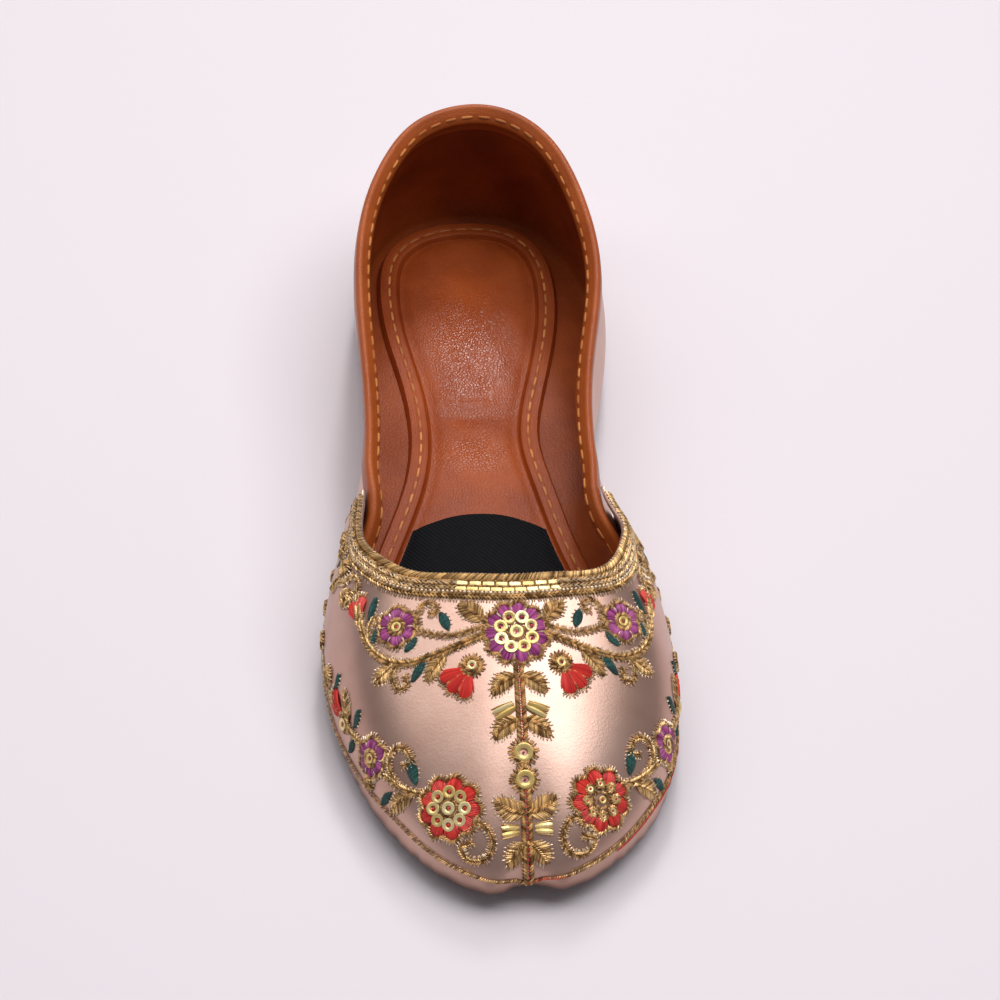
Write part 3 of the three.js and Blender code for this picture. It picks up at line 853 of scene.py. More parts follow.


class Heap:
    """Copies of small shapes on their way into one joined mesh, each copy with a tone of its own."""

    def __init__(self):
        self.points, self.tones, self.corners, self.sizes = [], [], [], []
        self.count = 0

    def add(self, points, faces):
        copies, many = points.shape[:2]
        tones = RANDOM.random(copies)
        # copies with a tone above the limit take the palest colour: painted glints
        tones = np.where(tones > BRIGHTEST, 1.0, tones)
        starts = self.count + np.arange(copies)[:, None] * many
        self.corners.append((np.concatenate(faces)[None] + starts).ravel())
        self.sizes.append(np.tile([len(face) for face in faces], copies))
        self.points.append(points.reshape(-1, 3))
        self.tones.append(np.repeat(tones, many))
        self.count += copies * many

    def piece(self, name, material, slot="braid", angle=50):
        """All the copies as one piece of the scene."""
        points = (np.concatenate(self.points) + PLACE) * MM
        corners, sizes = np.concatenate(self.corners), np.concatenate(self.sizes)
        data = bpy.data.meshes.new(name)
        data.vertices.add(len(points))
        data.vertices.foreach_set("co", points.ravel())
        data.loops.add(len(corners))
        data.loops.foreach_set("vertex_index", corners.astype(np.int32))
        data.polygons.add(len(sizes))
        data.polygons.foreach_set("loop_start", np.concatenate([[0], np.cumsum(sizes)[:-1]]).astype(np.int32))
        data.update(calc_edges=True)
        tone = data.attributes.new("tone", "FLOAT", "POINT")
        tone.data.foreach_set("value", np.concatenate(self.tones))
        piece = bpy.data.objects.new(name, data)
        bpy.context.scene.collection.objects.link(piece)
        return finished(piece, material, angle=angle)


def tube_faces(steps, sides):
    """Faces of a closed tube of rings, counted from its first point."""
    faces = []
    for i in range(steps - 1):
        for j in range(sides):
            k = (j + 1) % sides
            faces.append([i * sides + j, i * sides + k, (i + 1) * sides + k, (i + 1) * sides + j])
    faces.append(list(range(sides))[::-1])
    faces.append([(steps - 1) * sides + j for j in range(sides)])
    return faces


def strands(heap, points, ups, width, height, sides=5):
    """Closed strands round many paths, (paths, steps, 3); ups are the ways out at each step or one for a
    path, width and height the section's halves."""
    ahead = unit(np.gradient(points, axis=1))
    across = unit(np.cross(ahead, ups))
    rise = np.cross(across, ahead)
    angle = np.arange(sides) * 2 * np.pi / sides + np.pi / 2
    width, height = (np.broadcast_to(a, points.shape[:2])[..., None, None] for a in (width, height))
    ring = (points[:, :, None] + across[:, :, None] * np.cos(angle)[:, None] * width
            + rise[:, :, None] * np.sin(angle)[:, None] * height)
    heap.add(ring.reshape(len(points), -1, 3), tube_faces(points.shape[1], sides))


ON_VAMP = (0.01, 0.995)                  # shares up the wall that thread work keeps within


def plain_vamp(t, v):
    """The vamp's face without wrinkles, for measuring."""
    return wall(t, v, VAMP_STEP)


def vamp_frame(t, v):
    """Points on the vamp and the ways out of it."""
    e = 2 * TINY
    rise = plain_vamp(t, np.minimum(v + e, 1)) - plain_vamp(t, np.maximum(v - e, 0))
    along = plain_vamp(t + e, v) - plain_vamp(t - e, v)
    return vamp_face(t, v), unit(np.cross(rise, along))


def lean(up):
    """The garlands' middle line leans to the cleft towards the toe."""
    return -0.03 - 0.05 * (1 - np.asarray(up, float))


class Ground:
    """Flat millimetres laid on the vamp round a place: x outboard, y up the wall."""

    def __init__(self, place, mirror=1):
        side, up = place
        e = TINY
        self.t, self.v, self.mirror = TOE + lean(up) + mirror * side, up, mirror
        self.base = plain_vamp(self.t, self.v)
        along = (plain_vamp(self.t + e, self.v) - plain_vamp(self.t - e, self.v)) / (2 * e)
        rise = (plain_vamp(self.t, self.v + e) - plain_vamp(self.t, self.v - e)) / (2 * e)
        self.x = unit(along) * mirror
        self.y = unit(rise - self.x * (rise @ self.x))
        self.speed = np.linalg.norm(along), np.linalg.norm(rise)

    def local(self, place):
        side, up = place
        offset = plain_vamp(TOE + lean(up) + self.mirror * side, up) - self.base
        return np.array([offset @ self.x, offset @ self.y])

    def lay(self, x, y):
        """(t, v) of points given in flat millimetres."""
        x, y = np.broadcast_arrays(np.asarray(x, float), np.asarray(y, float))
        t = self.t + self.mirror * x / self.speed[0]
        v = np.clip(self.v + y / self.speed[1], *ON_VAMP)
        e = TINY
        for _ in range(4):
            p = plain_vamp(t, v)
            along, rise = (plain_vamp(t + e, v) - p) / e, (plain_vamp(t, v - e) - p) / -e
            a, b, c, d = along @ self.x, rise @ self.x, along @ self.y, rise @ self.y
            miss_x, miss_y = x - (p - self.base) @ self.x, y - (p - self.base) @ self.y
            size = a * d - b * c
            t = t + (d * miss_x - b * miss_y) / size
            v = np.clip(v + (a * miss_y - c * miss_x) / size, *ON_VAMP)
        return t, v


def satin(heap, ground, starts, ends, width=0.24, puff=0.55, steps=5):
    """Floss laid side by side from starts to ends, its ends going down into the leather."""
    s = np.linspace(0, 1, steps)
    path = starts[:, None] + (ends - starts)[:, None] * s[:, None]
    t, v = ground.lay(path[..., 0], path[..., 1])
    p, out = vamp_frame(t, v)
    lift = puff * np.sin(np.pi * np.clip(s, 0.06, 0.94)) ** 0.6 - 0.08
    size = width * np.interp(s, [0, 0.2, 0.8, 1], [0.6, 1, 1, 0.6])
    strands(heap, p + out * lift[:, None], out, size, width * 0.9)


def spline(points, fine=14):
    """Smooth open line through points."""
    p = np.array(points, float)
    p = np.vstack([2 * p[0] - p[1], p, 2 * p[-1] - p[-2]])
    s = np.linspace(0, 1, fine, endpoint=False)[:, None]
    parts = []
    for a, b, c, d in zip(p, p[1:], p[2:], p[3:]):
        parts.append(0.5 * (2 * b + (c - a) * s + (2 * a - 5 * b + 4 * c - d) * s ** 2
                            + (3 * b - a - 3 * c + d) * s ** 3))
    return np.vstack(parts + [p[-2][None]])


def route(points, mirror=1):
    """(t, v) along a smooth line through places on the chart."""
    line = spline(points)
    return TOE + lean(line[:, 1]) + mirror * line[:, 0], line[:, 1]


def even(t, v, pitch):
    """The same line in even steps of about pitch millimetres."""
    gaps = np.linalg.norm(np.diff(plain_vamp(t, v), axis=0), axis=1)
    run = np.concatenate([[0], np.cumsum(gaps)])
    count = max(3, int(round(run[-1] / pitch)) + 1)
    at = np.linspace(0, run[-1], count)
    return np.interp(at, run, t), np.interp(at, run, v)


def line_frame(t, v):
    """Points of a line on the vamp and the ways ahead, across and out."""
    p, out = vamp_frame(t, v)
    ahead = unit(np.gradient(p, axis=0))
    return p, ahead, unit(np.cross(out, ahead)), out


def rope(heap, t, v, width=0.9, pitch=0.62, lift=0.16, lay_angle=46, beside=0.0):
    """Twisted cord couched on the leather, on its line or beside it: one slanted strand a pitch."""
    p, ahead, across, out = line_frame(*even(t, v, pitch))
    p = p + across * beside
    a = math.radians(lay_angle)
    way = ahead * math.cos(a) + across * math.sin(a)
    s = np.array([-1.0, -0.45, 0.45, 1.0])
    rise = width * np.array([-0.05, 0.40, 0.40, -0.05]) + lift
    path = p[:, None] + way[:, None] * (s * width * 0.62)[:, None] + out[:, None] * rise[:, None]
    strands(heap, path, out[:, None], width * 0.25 * np.array([0.6, 1, 1, 0.6]), width * 0.28)


def plait(heap, t, v, width, pitch, lift):
    """Chain stitch: two rows of strands that lean together."""
    p, ahead, across, out = line_frame(*even(t, v, pitch))
    s = np.array([-1.0, -0.4, 0.4, 1.0])
    rise = width * np.array([0.05, 0.30, 0.36, 0.14]) + lift
    for sign in (-1, 1):
        way = unit(ahead * 1.0 - across * sign * 0.62)
        centre = p + across * sign * width * 0.27
        path = centre[:, None] + way[:, None] * (s * pitch * 0.66)[:, None] + out[:, None] * rise[:, None]
        strands(heap, path, out[:, None], width * 0.19 * np.array([0.5, 1, 1, 0.7]), width * 0.2)


def picots(heap, t, v, way, start=0.4, length=0.9, pitch=0.8, width=0.16):
    """Short bright loops that stand out from the side of a cord."""
    p, ahead, across, out = line_frame(*even(t, v, pitch))
    jitter = (RANDOM.random((len(p), 1)) - 0.5) * 0.6
    aim = unit(across * way + ahead * jitter)
    s = np.array([0.0, 0.5, 0.85, 1.0])
    reach = start + length * s * (0.8 + 0.4 * RANDOM.random((len(p), 1)))
    rise = np.array([0.34, 0.42, 0.28, 0.0])
    path = p[:, None] + aim[:, None] * reach[..., None] + out[:, None] * rise[:, None]
    strands(heap, path, out[:, None], width * np.array([0.8, 1.0, 1.0, 0.5]), width, sides=4)


GOLD, BRAID, SHINE, SPANGLES = Heap(), Heap(), Heap(), Heap()
FLOSS = {"gold": Heap(), "purple": Heap(), "red": Heap(), "green": Heap()}
FLOSS_THREADS = {"gold": OLIVE, "purple": PURPLE, "red": RED, "green": GREEN}
DISCS, STRIPS, BEADS = [], [], []        # places for sequins, strips and beads, filled by the motifs


def ring_path(ground, radius, wave=0.0, scallops=1, middle=(0.0, 0.0), count=160):
    """(t, v) round a ring, drawn in between its scallops."""
    a = np.linspace(0, 2 * np.pi, count)
    r = radius * (1 - wave * (1 - np.abs(np.cos(scallops * a / 2))))
    return ground.lay(middle[0] + r * np.cos(a), middle[1] + r * np.sin(a))


def directions(angles):
    return np.stack([np.cos(angles), np.sin(angles)], -1)


def bloom(place, mirror, radius, petals, floss, rosette, dull=False):
    """Flower of satin petals with a scalloped gold outline; its heart is one sequin, or a rosette of
    sequins, or of dull thread rings that are painted shade in place of sequins."""
    ground = Ground(place, mirror)
    heart = radius * (0.42 if rosette == "small" else 0.50)
    a = np.arange(0, 2 * np.pi, 0.40 / (radius * 0.8))
    lobe = np.abs(np.cos(petals * a / 2))
    a, lobe = a[lobe > 0.16], lobe[lobe > 0.16]
    reach = radius * (0.80 + 0.20 * lobe)
    way = directions(a)
    satin(FLOSS[floss], ground, way * heart, way * reach[:, None], width=0.25, puff=0.7)
    if floss == "purple":
        between = directions((np.arange(petals) + 0.5) * 2 * np.pi / petals)
        satin(SHINE, ground, between * heart * 1.2, between * radius * 0.93, width=0.2, puff=0.75)
    t, v = ring_path(ground, radius + 0.3, 0.17, petals)
    rope(GOLD, t, v, 0.95)
    picots(SHINE, t, v, mirror, 0.3, 0.85, 0.62)
    if rosette == "small":
        rope(GOLD, *ring_path(ground, heart * 0.95), 1.2)
        DISCS.append((ground, 0, 0, heart * 0.62, 0.75))
        return
    rope(GOLD, *ring_path(ground, heart * 1.28, 0.12, rosette), 0.8)
    rope(GOLD, *ring_path(ground, heart * 0.52), 0.75)
    for k in range(rosette):
        angle = 2 * np.pi * (k + 0.5) / rosette
        x, y = heart * 1.02 * math.cos(angle), heart * 1.02 * math.sin(angle)
        # dull thread rings in place of sequins: painted shade
        if dull:
            rope(GOLD, *ring_path(ground, radius * 0.135, middle=(x, y), count=24), 0.9, 0.5, lift=0.35)
            DISCS.append((ground, x, y, radius * 0.09, 0.7))
        else:
            DISCS.append((ground, x, y, radius * 0.205, 0.8))
    DISCS.append((ground, 0, 0, radius * (0.12 if dull else 0.21), 1.0))


def leaf_half(s, width):
    """Half the width of a leaf at a share of its length."""
    return width / 2 * np.sin(np.pi * np.clip(s, 0.02, 0.98)) ** 0.65


def vein(heap, ground, at, end, count, width, pitch=0.62):
    """Rope along the middle of a leaf."""
    t, v = ground.lay(*at(np.linspace(0, end, count))[0].T)
    rope(heap, t, v, width, pitch, lift=0.35)


def axis_of(ground, tip, bow=0.0):
    """A function that gives places on the line from the ground's middle to a tip, bowed sideways, with
    the way across it; and the line's length in mm."""
    end = ground.local(tip)
    size = np.linalg.norm(end)
    ahead = end / size
    across = np.array([-ahead[1], ahead[0]])

    def at(s):
        s = np.asarray(s, float)
        return ahead * (s * size)[..., None] + across * (bow * size * s * (1 - s) * 4)[..., None], across
    return at, size


def leaf(base, tip, mirror, width):
    """Green satin leaf in slanted floss."""
    ground = Ground(base, mirror)
    at, size = axis_of(ground, tip)
    slant = 0.14
    s = np.arange(0.0, 1 - slant, 0.36 / size)
    low, across = at(s)
    rim = at(s + slant)[0] + across * leaf_half(s + slant, width)[:, None]
    satin(FLOSS["green"], ground, low - across * leaf_half(s, width)[:, None], rim, width=0.24, puff=0.5)
    satin(SHINE, ground, rim[1::3], rim[1::3] + across * 0.6, width=0.15, puff=0.3, steps=3)
    vein(FLOSS["green"], ground, at, 0.92, 12, 0.5, 0.5)


PLUME_WIDER = 1.4                        # the feathered ends reach past the charted width


def plume(base, tip, mirror, width, bow):
    """Feathered gold leaf: floss from the vein to a toothed edge, with bright ends."""
    ground = Ground(base, mirror)
    at, size = axis_of(ground, tip, bow)
    s = np.arange(0.05, 0.84, 0.40 / size)
    low, across = at(s)
    high, _ = at(s + 0.20)
    teeth = 1 + 0.08 * np.cos(np.arange(len(s)) * 2.1)
    reach = (leaf_half(s + 0.16, width * PLUME_WIDER) * teeth)[:, None]
    for sign in (-1, 1):
        edge = high + across * sign * reach
        satin(FLOSS["gold"], ground, low, edge, width=0.24, puff=0.5)
        tooth = edge + unit(edge - low) * 0.75
        satin(SHINE, ground, edge[::2], tooth[::2], width=0.17, puff=0.35, steps=4)
    vein(GOLD, ground, at, 0.96, 16, 0.9)


def bud(base, tip, mirror, width, count):
    """Red bud of satin lobes that fan from its base, with gold lines between them."""
    ground = Ground(base, mirror)
    at, size = axis_of(ground, tip)
    ahead, across = at(1.0)[0] / size, at(1.0)[1]
    outline = []
    fan = width / (size * 0.85) / count
    half = width / count * 0.60
    for k in range(count):
        angle = (k - (count - 1) / 2) * fan
        way = ahead * math.cos(angle) + across * math.sin(angle)
        side = np.array([-way[1], way[0]])
        spread = np.arange(-1.0, 1.01, 0.36 / half)
        bulge = np.sqrt(np.clip(1 - (spread * 0.96) ** 2, 0, 1))
        starts = way * size * 0.26 + side * (spread * half * 0.35)[:, None]
        ends = way * (size * (0.66 + 0.34 * bulge))[:, None] + side * (spread * half)[:, None]
        satin(FLOSS["red"], ground, starts, ends, width=0.27, puff=0.65)
        outline.append(ends[[1, len(ends) // 2, -2]] * 1.06)
    for k in range(count - 1):
        angle = (k + 1 - count / 2) * fan
        way = ahead * math.cos(angle) + across * math.sin(angle)
        t, v = ground.lay(*(way * size * np.linspace(0.42, 0.86, 5)[:, None]).T)
        rope(GOLD, t, v, 0.5, 0.5, lift=0.45)
    line = spline(np.vstack(outline))
    t, v = ground.lay(line[:, 0], line[:, 1])
    rope(GOLD, t, v, 0.6, lift=0.2)
    picots(SHINE, t, v, mirror, 0.3, 0.7, 0.8)


def ringlet(place, mirror, radius, eye=0.68):
    """Gold ring with spikes round one sequin."""
    ground = Ground(place, mirror)
    t, v = ring_path(ground, radius * 0.74)
    rope(GOLD, t, v, 0.9)
    picots(GOLD, t, v, mirror, 0.3, radius * 0.34, 0.60, 0.19)
    picots(SHINE, t, v, mirror, 0.3, radius * 0.26, 1.1, 0.15)
    if eye < 0.6:
        rope(GOLD, *ring_path(ground, radius * 0.46), 0.95, lift=0.35)
    DISCS.append((ground, 0, 0, radius * eye, 0.85))


CORD_WIDER = 1.15                        # the two twisted halves lie a little wider than the charted cord


def vine(points, mirror, width, fringe):
    """Gold cord along a line of places; fringe says on which side its picots are longer, 0 for none."""
    t, v = route(points, mirror)
    width *= CORD_WIDER
    for side in (-1, 1):
        rope(GOLD, t, v, width * 0.66, 0.58, lift=0.2, beside=side * width * 0.34, lay_angle=side * 42)
    if fringe:
        picots(SHINE, t, v, fringe * mirror, width * 0.60, 0.74, 0.56)
        picots(SHINE, t, v, -fringe * mirror, width * 0.60, 0.5, 0.8)


COIL_TURNS = 1.15


def coil(place, mirror, radius, start, hand):
    """Scroll of gold cord with picots round it and a knot in its eye."""
    ground = Ground(place, mirror)
    a = np.linspace(0, 2 * np.pi * COIL_TURNS, 70)
    r = radius * (1 - 0.62 * a / a[-1])
    angle = math.radians(start) + hand * a
    t, v = ground.lay(r * np.cos(angle), r * np.sin(angle))
    rope(GOLD, t, v, 1.25, lift=0.2)
    outer = slice(0, 48)
    picots(SHINE, t[outer], v[outer], mirror * hand, 0.45, 0.75, 0.64)
    rope(GOLD, *ring_path(ground, 0.45, count=20), 0.8, lift=0.35)


# The garlands, charted on one side and mirrored: sections out from the toe's middle, share up
# the wall
GREEN_LEAVES = (                         # base, tip, width in mm
    ((0.91, 0.828), (1.09, 0.873), 2.5), ((1.50, 0.728), (1.36, 0.782), 2.2),
    ((1.13, 0.750), (1.32, 0.652), 2.3), ((2.40, 0.735), (2.46, 0.835), 2.0),
    ((2.20, 0.655), (2.11, 0.740), 2.0), ((4.52, 0.640), (4.60, 0.780), 2.2),
    ((1.20, 0.362), (1.29, 0.440), 2.9), ((1.60, 0.255), (1.80, 0.140), 2.2),
    ((2.34, 0.330), (2.22, 0.435), 2.3), ((2.36, 0.270), (2.52, 0.150), 2.3),
    ((3.58, 0.190), (3.86, 0.115), 2.3), ((2.95, 0.330), (2.88, 0.420), 2.0),
)
PLUMES = (                               # base, tip, width in mm, bow
    ((0.44, 0.868), (0.84, 0.905), 3.4, 0.05), ((0.88, 0.768), (1.10, 0.672), 2.8, 0.05),
    ((1.66, 0.668), (1.95, 0.575), 3.0, 0.0), ((0.0, 0.738), (0.31, 0.688), 3.3, 0.12),
    ((0.0, 0.630), (0.30, 0.576), 3.4, 0.12), ((0.0, 0.346), (0.31, 0.404), 3.9, -0.10),
    ((0.0, 0.232), (0.20, 0.150), 3.4, 0.10), ((1.24, 0.318), (1.62, 0.165), 3.0, 0.08),
    ((2.50, 0.300), (2.66, 0.400), 2.4, 0.0), ((5.05, 0.215), (5.45, 0.190), 2.6, 0.0),
    ((4.10, 0.640), (4.22, 0.540), 2.4, 0.0),
)
VINES = (                                # places, width in mm, side of the picots
    (((0.42, 0.858), (0.66, 0.832), (0.93, 0.810), (1.20, 0.802), (1.42, 0.800)), 0.95, -1),
    (((0.42, 0.836), (0.66, 0.805), (0.92, 0.767), (1.18, 0.729), (1.47, 0.692), (1.81, 0.669), (2.10, 0.664),
      (2.38, 0.677), (2.70, 0.720)), 1.25, -1),
    (((1.38, 0.805), (1.46, 0.855), (1.38, 0.890), (1.20, 0.890), (1.15, 0.867), (1.26, 0.857)), 0.95, -1),
    (((1.55, 0.684), (1.64, 0.640), (1.52, 0.610), (1.38, 0.636), (1.43, 0.662)), 0.95, 1),
    (((2.18, 0.668), (2.32, 0.720), (2.26, 0.765), (2.14, 0.750)), 0.90, -1),
    (((2.62, 0.690), (2.80, 0.735)), 1.60, 0),
    (((2.92, 0.740), (3.16, 0.800), (3.46, 0.800), (3.72, 0.715), (4.05, 0.660), (4.40, 0.720), (4.80, 0.795),
      (5.25, 0.790)), 0.95, 1),
    (((0.64, 0.293), (0.46, 0.328), (0.35, 0.276), (0.41, 0.200), (0.60, 0.170), (0.69, 0.213),
      (0.56, 0.251)), 1.0, -1),
    (((1.06, 0.351), (1.27, 0.326), (1.46, 0.313), (1.67, 0.306)), 1.1, 1),
    (((1.42, 0.313), (1.60, 0.346), (1.54, 0.416), (1.36, 0.452), (1.25, 0.428), (1.39, 0.392)), 1.0, 1),
    (((2.20, 0.312), (2.45, 0.285), (2.75, 0.262)), 1.1, 1),
    (((2.95, 0.250), (3.30, 0.190), (3.70, 0.200), (4.15, 0.175), (4.60, 0.185), (5.05, 0.205)), 0.95, -1),
)
COILS = (                                # place, radius in mm, start in degrees, hand
    ((3.36, 0.690), 2.7, 100, 1), ((3.98, 0.760), 2.3, -60, 1), ((4.84, 0.700), 2.2, 80, -1),
    ((5.30, 0.680), 1.7, 90, 1), ((3.32, 0.275), 2.6, -80, -1), ((3.98, 0.250), 2.3, -90, -1),
    ((4.52, 0.245), 1.9, -80, -1), ((5.00, 0.270), 1.5, -80, 1), ((2.05, 0.170), 1.6, 60, 1),
)
SIDE_BLOOMS = ((1.75, 0.785), (1.95, 0.310))
BUDS = (                                 # base, tip, width in mm, number of lobes
    ((0.57, 0.744), (0.80, 0.668), 10.4, 3), ((2.66, 0.262), (3.06, 0.262), 6.0, 3),
    ((2.62, 0.690), (2.98, 0.745), 6.4, 2),
)
STEM_RINGS = (0.541, 0.459)              # shares up the wall, on the middle line, as the next three
STEM_RUNS = ((0.762, 0.580), (0.420, 0.035))
STEM_HALF = 0.034
BRIGHT_PAIRS = (((0.02, 0.668), (0.31, 0.630)), ((0.05, 0.285), (0.27, 0.300)))
BORDER = (
    (0.0, 0.030), (0.20, 0.078), (0.50, 0.100), (0.85, 0.110), (1.20, 0.125), (1.55, 0.140), (1.95, 0.125),
    (2.30, 0.105), (2.75, 0.085), (3.25, 0.075), (4.0, 0.075), (5.0, 0.080), (5.85, 0.085),
)
RED_RUNS = ((0.12, 0.45), (1.0, 3.3))    # where red thread shows below the border, sections from the middle


def garlands():
    for mirror in (1, -1):
        for base, tip, width in GREEN_LEAVES:
            leaf(base, tip, mirror, width)
        for base, tip, width, bow in PLUMES:
            plume(base, tip, mirror, width, bow)
        for points, width, fringe in VINES:
            vine(points, mirror, width, fringe)
        for place, radius, start, hand in COILS:
            coil(place, mirror, radius, start, hand)
        for place in SIDE_BLOOMS:
            bloom(place, mirror, 5.0, 6, "purple", "small")
        # the mirrored red flower gets the dull rosette: painted shade in place of its sequins
        bloom((0.79, 0.343), mirror, 7.8, 9, "red", 8, dull=mirror < 0)
        ringlet((0.55, 0.750), mirror, 2.9, 0.40)
        ringlet((2.62, 0.262), mirror, 2.3)
        for base, tip, width, count in BUDS:
            bud(base, tip, mirror, width, count)
    bloom((0.0, 0.845), 1, 8.1, 11, "purple", 8)
    for up in STEM_RINGS:
        ringlet((0.0, up), 1, 3.35)
    stem()
    border()


def stem():
    """Middle stem: red floss between two gold cords, broken by the rings, and the bright strips beside it."""
    for top, foot in STEM_RUNS:
        ups = np.linspace(top, foot, 9)
        for side in (-1, 1):
            line = route([(side * STEM_HALF, up) for up in ups])
            rope(GOLD, *line, 1.2, 0.7, lift=0.15, lay_angle=side * 38)
        rope(FLOSS["red"], *route([(0.0, up) for up in ups]), 0.62, 1.3, lift=0.5)
    for mirror in (1, -1):
        for start, tip in BRIGHT_PAIRS:
            ground = Ground(start, mirror)
            at, size = axis_of(ground, tip, 0.06)
            line, across = at(np.array([0.16, 0.92]))
            for nudge in (-0.5, 0.5):
                satin(SPANGLES, ground, line[:1] + across * nudge, line[1:] + across * nudge * 1.7, 0.62, 0.5)
            for nudge in (-1.1, 0.0, 1.1):
                satin(GOLD, ground, line[:1] + across * nudge, line[1:] + across * nudge * 1.6, 0.24, 0.4)


def border():
    """Gold cord round the foot of the vamp, with a red thread below it on the inner side of the toe."""
    for mirror in (1, -1):
        t, v = route(BORDER, mirror)
        out = np.abs(t - TOE)
        rope(GOLD, t, v, 0.75, 0.55, lift=0.2)
        beside = out > 0.5
        rope(GOLD, t[beside], v[beside] + 0.015, 0.45, 0.55, lift=0.1)
        for start, end in RED_RUNS if mirror < 0 else ():
            run = (out > start) & (out < end)
            rope(FLOSS["red"], t[run], v[run] - 0.014 * smooth(0.4, 1.2, out[run]), 0.60, 0.55, lift=0.34)


# Throat braid: distances from the throat's edge, mm
TAPE = (                                 # distance from the edge, height off the vamp
    (0.3, 0.02), (0.3, 0.24), (1.2, 0.36), (5.4, 0.36), (6.4, 0.24), (6.6, 0.02),
)
LIP = 1.75
ROPE_ROWS = (1.95, 3.42)
BRIGHT_ROWS = (2.68, 4.15)
BEAD_ROW = 5.05
FOOT_ROW = 5.95
FRINGE_ROW = 6.5
BRAID_END = 0.14                         # sections that the braid stops short of the wings' ends
STRIP_HALF = 0.95                        # sections on either side of the middle that have strips


def throat_line(mm, pitch=None, half=TOE - WING - BRAID_END):
    """(t, v) along the throat at a distance from its edge."""
    t = np.linspace(TOE - half, TOE + half, 700)
    v = down(t, mm)
    return even(t, v, pitch) if pitch else (t, v)


def braid_base():
    """Flat gold tape under the braid's rows."""
    t, _ = throat_line(1.0, 0.7)
    rings = np.stack([vamp_face(t, down(t, mm), lift) for mm, lift in TAPE], 1)
    return finished(swept("braid_tape", rings), OLIVE, "throat_braid", angle=70)


def lip_whipping():
    """Whipped edge: floss from the vamp's cut edge down over its face, on the slant, with bright ends."""
    t, _ = throat_line(0.6, 0.36)
    slant = np.gradient(t) * 1.6
    out, up = frame_at(t, 1.0)
    edge = cleft(last_face(t, 1.0) + out * VAMP_STEP)
    over = edge - out * 0.2 + up * 0.12
    down_at = [vamp_face(t + slant * k, down(t + slant * k, mm), lift)
               for k, mm, lift in ((0.5, 0.15, 0.36), (1.3, 0.75, 0.46), (2.0, 1.3, 0.42), (2.6, LIP, 0.05))]
    path = np.stack([over, *down_at], 1)
    strands(BRAID, path, np.stack([up, out, out, out, out], 1), 0.23, 0.2)
    ends = np.stack([edge - out * 0.55 - up * 0.05, edge - out * 0.2 + up * 0.3, down_at[0]], 1)[::3]
    strands(SHINE, ends, np.stack([up, up, out], 1)[::3], 0.17, 0.15, sides=4)


def braid_rows():
    """Two bright rows of chain stitch with strips at the middle, thin ropes, beads, and a row with picots."""
    for mm in BRIGHT_ROWS:
        t, v = throat_line(mm)
        for part in (t < TOE - STRIP_HALF, t > TOE + STRIP_HALF):
            plait(BRAID, t[part], v[part], 1.3, 1.0, lift=0.42)
            plait(SHINE, t[part], v[part], 0.62, 1.3, lift=0.78)
        STRIPS.extend((t, v, 0.5) for t, v in zip(*throat_line(mm, 3.1, STRIP_HALF - 0.1)))
    for mm in ROPE_ROWS:
        rope(BRAID, *throat_line(mm), 0.5, 0.5, lift=0.45)
    BEADS.extend((t, v, 0.62) for t, v in zip(*throat_line(BEAD_ROW, 1.08)))
    plait(BRAID, *throat_line(FOOT_ROW), 1.35, 0.95, lift=0.32)
    picots(SHINE, *throat_line(FRINGE_ROW), 1, 0.1, 0.95, 0.75, 0.16)


def small_model(make):
    """Points and faces of a small shape modelled once, its faces in the same order on each run."""
    clear_selection()
    make()
    piece = bpy.context.object
    points = read_places(piece)
    faces = [np.array(face.vertices) for face in piece.data.polygons]
    bpy.data.objects.remove(piece)
    return points, sorted((np.roll(face, -face.argmin()) for face in faces), key=tuple)


def sequin_shape():
    """Cupped disc with a hole, radius 1."""
    bpy.ops.mesh.primitive_circle_add(vertices=20, radius=1.0)
    piece = bpy.context.object

    def shape():
        for size, drop in ((0.90, 0.04), (0.68, -0.06), (0.74, -0.08)):
            bpy.ops.mesh.extrude_region_move(TRANSFORM_OT_translate={"value": (0, 0, drop)})
            bpy.ops.transform.resize(value=(size, size, 1))
    in_edit_mode(piece, shape)
    apply_modifier(piece, "foil", "SOLIDIFY", thickness=0.10, offset=0.0)
    face_outward(piece)


def strip_shape():
    """Flat bright strip with rounded edges, before its scale."""
    bpy.ops.mesh.primitive_cube_add(size=1)
    piece = bpy.context.object

    def shape():
        bpy.ops.transform.resize(value=(2.0, 0.74, 0.16))
        bpy.ops.mesh.bevel(offset=0.09, segments=2, affect="EDGES")
    in_edit_mode(piece, shape)


def bead_shape():
    """Round bead, radius 1."""
    bpy.ops.mesh.primitive_uv_sphere_add(segments=8, ring_count=6, radius=1.0)


def scatter(heap, shape, places):
    """Copies of a shape at (point, ahead, across, out, scale)."""
    points, faces = shape
    heap.add(np.stack([p + (points * scale) @ np.stack(ways) for p, *ways, scale in places]), faces)


STRIP_SCALE, BEAD_SCALE, KNOT_SCALE = (1.42, 1.5, 1.2), (0.50, 0.46, 0.42), (0.34, 0.34, 0.22)


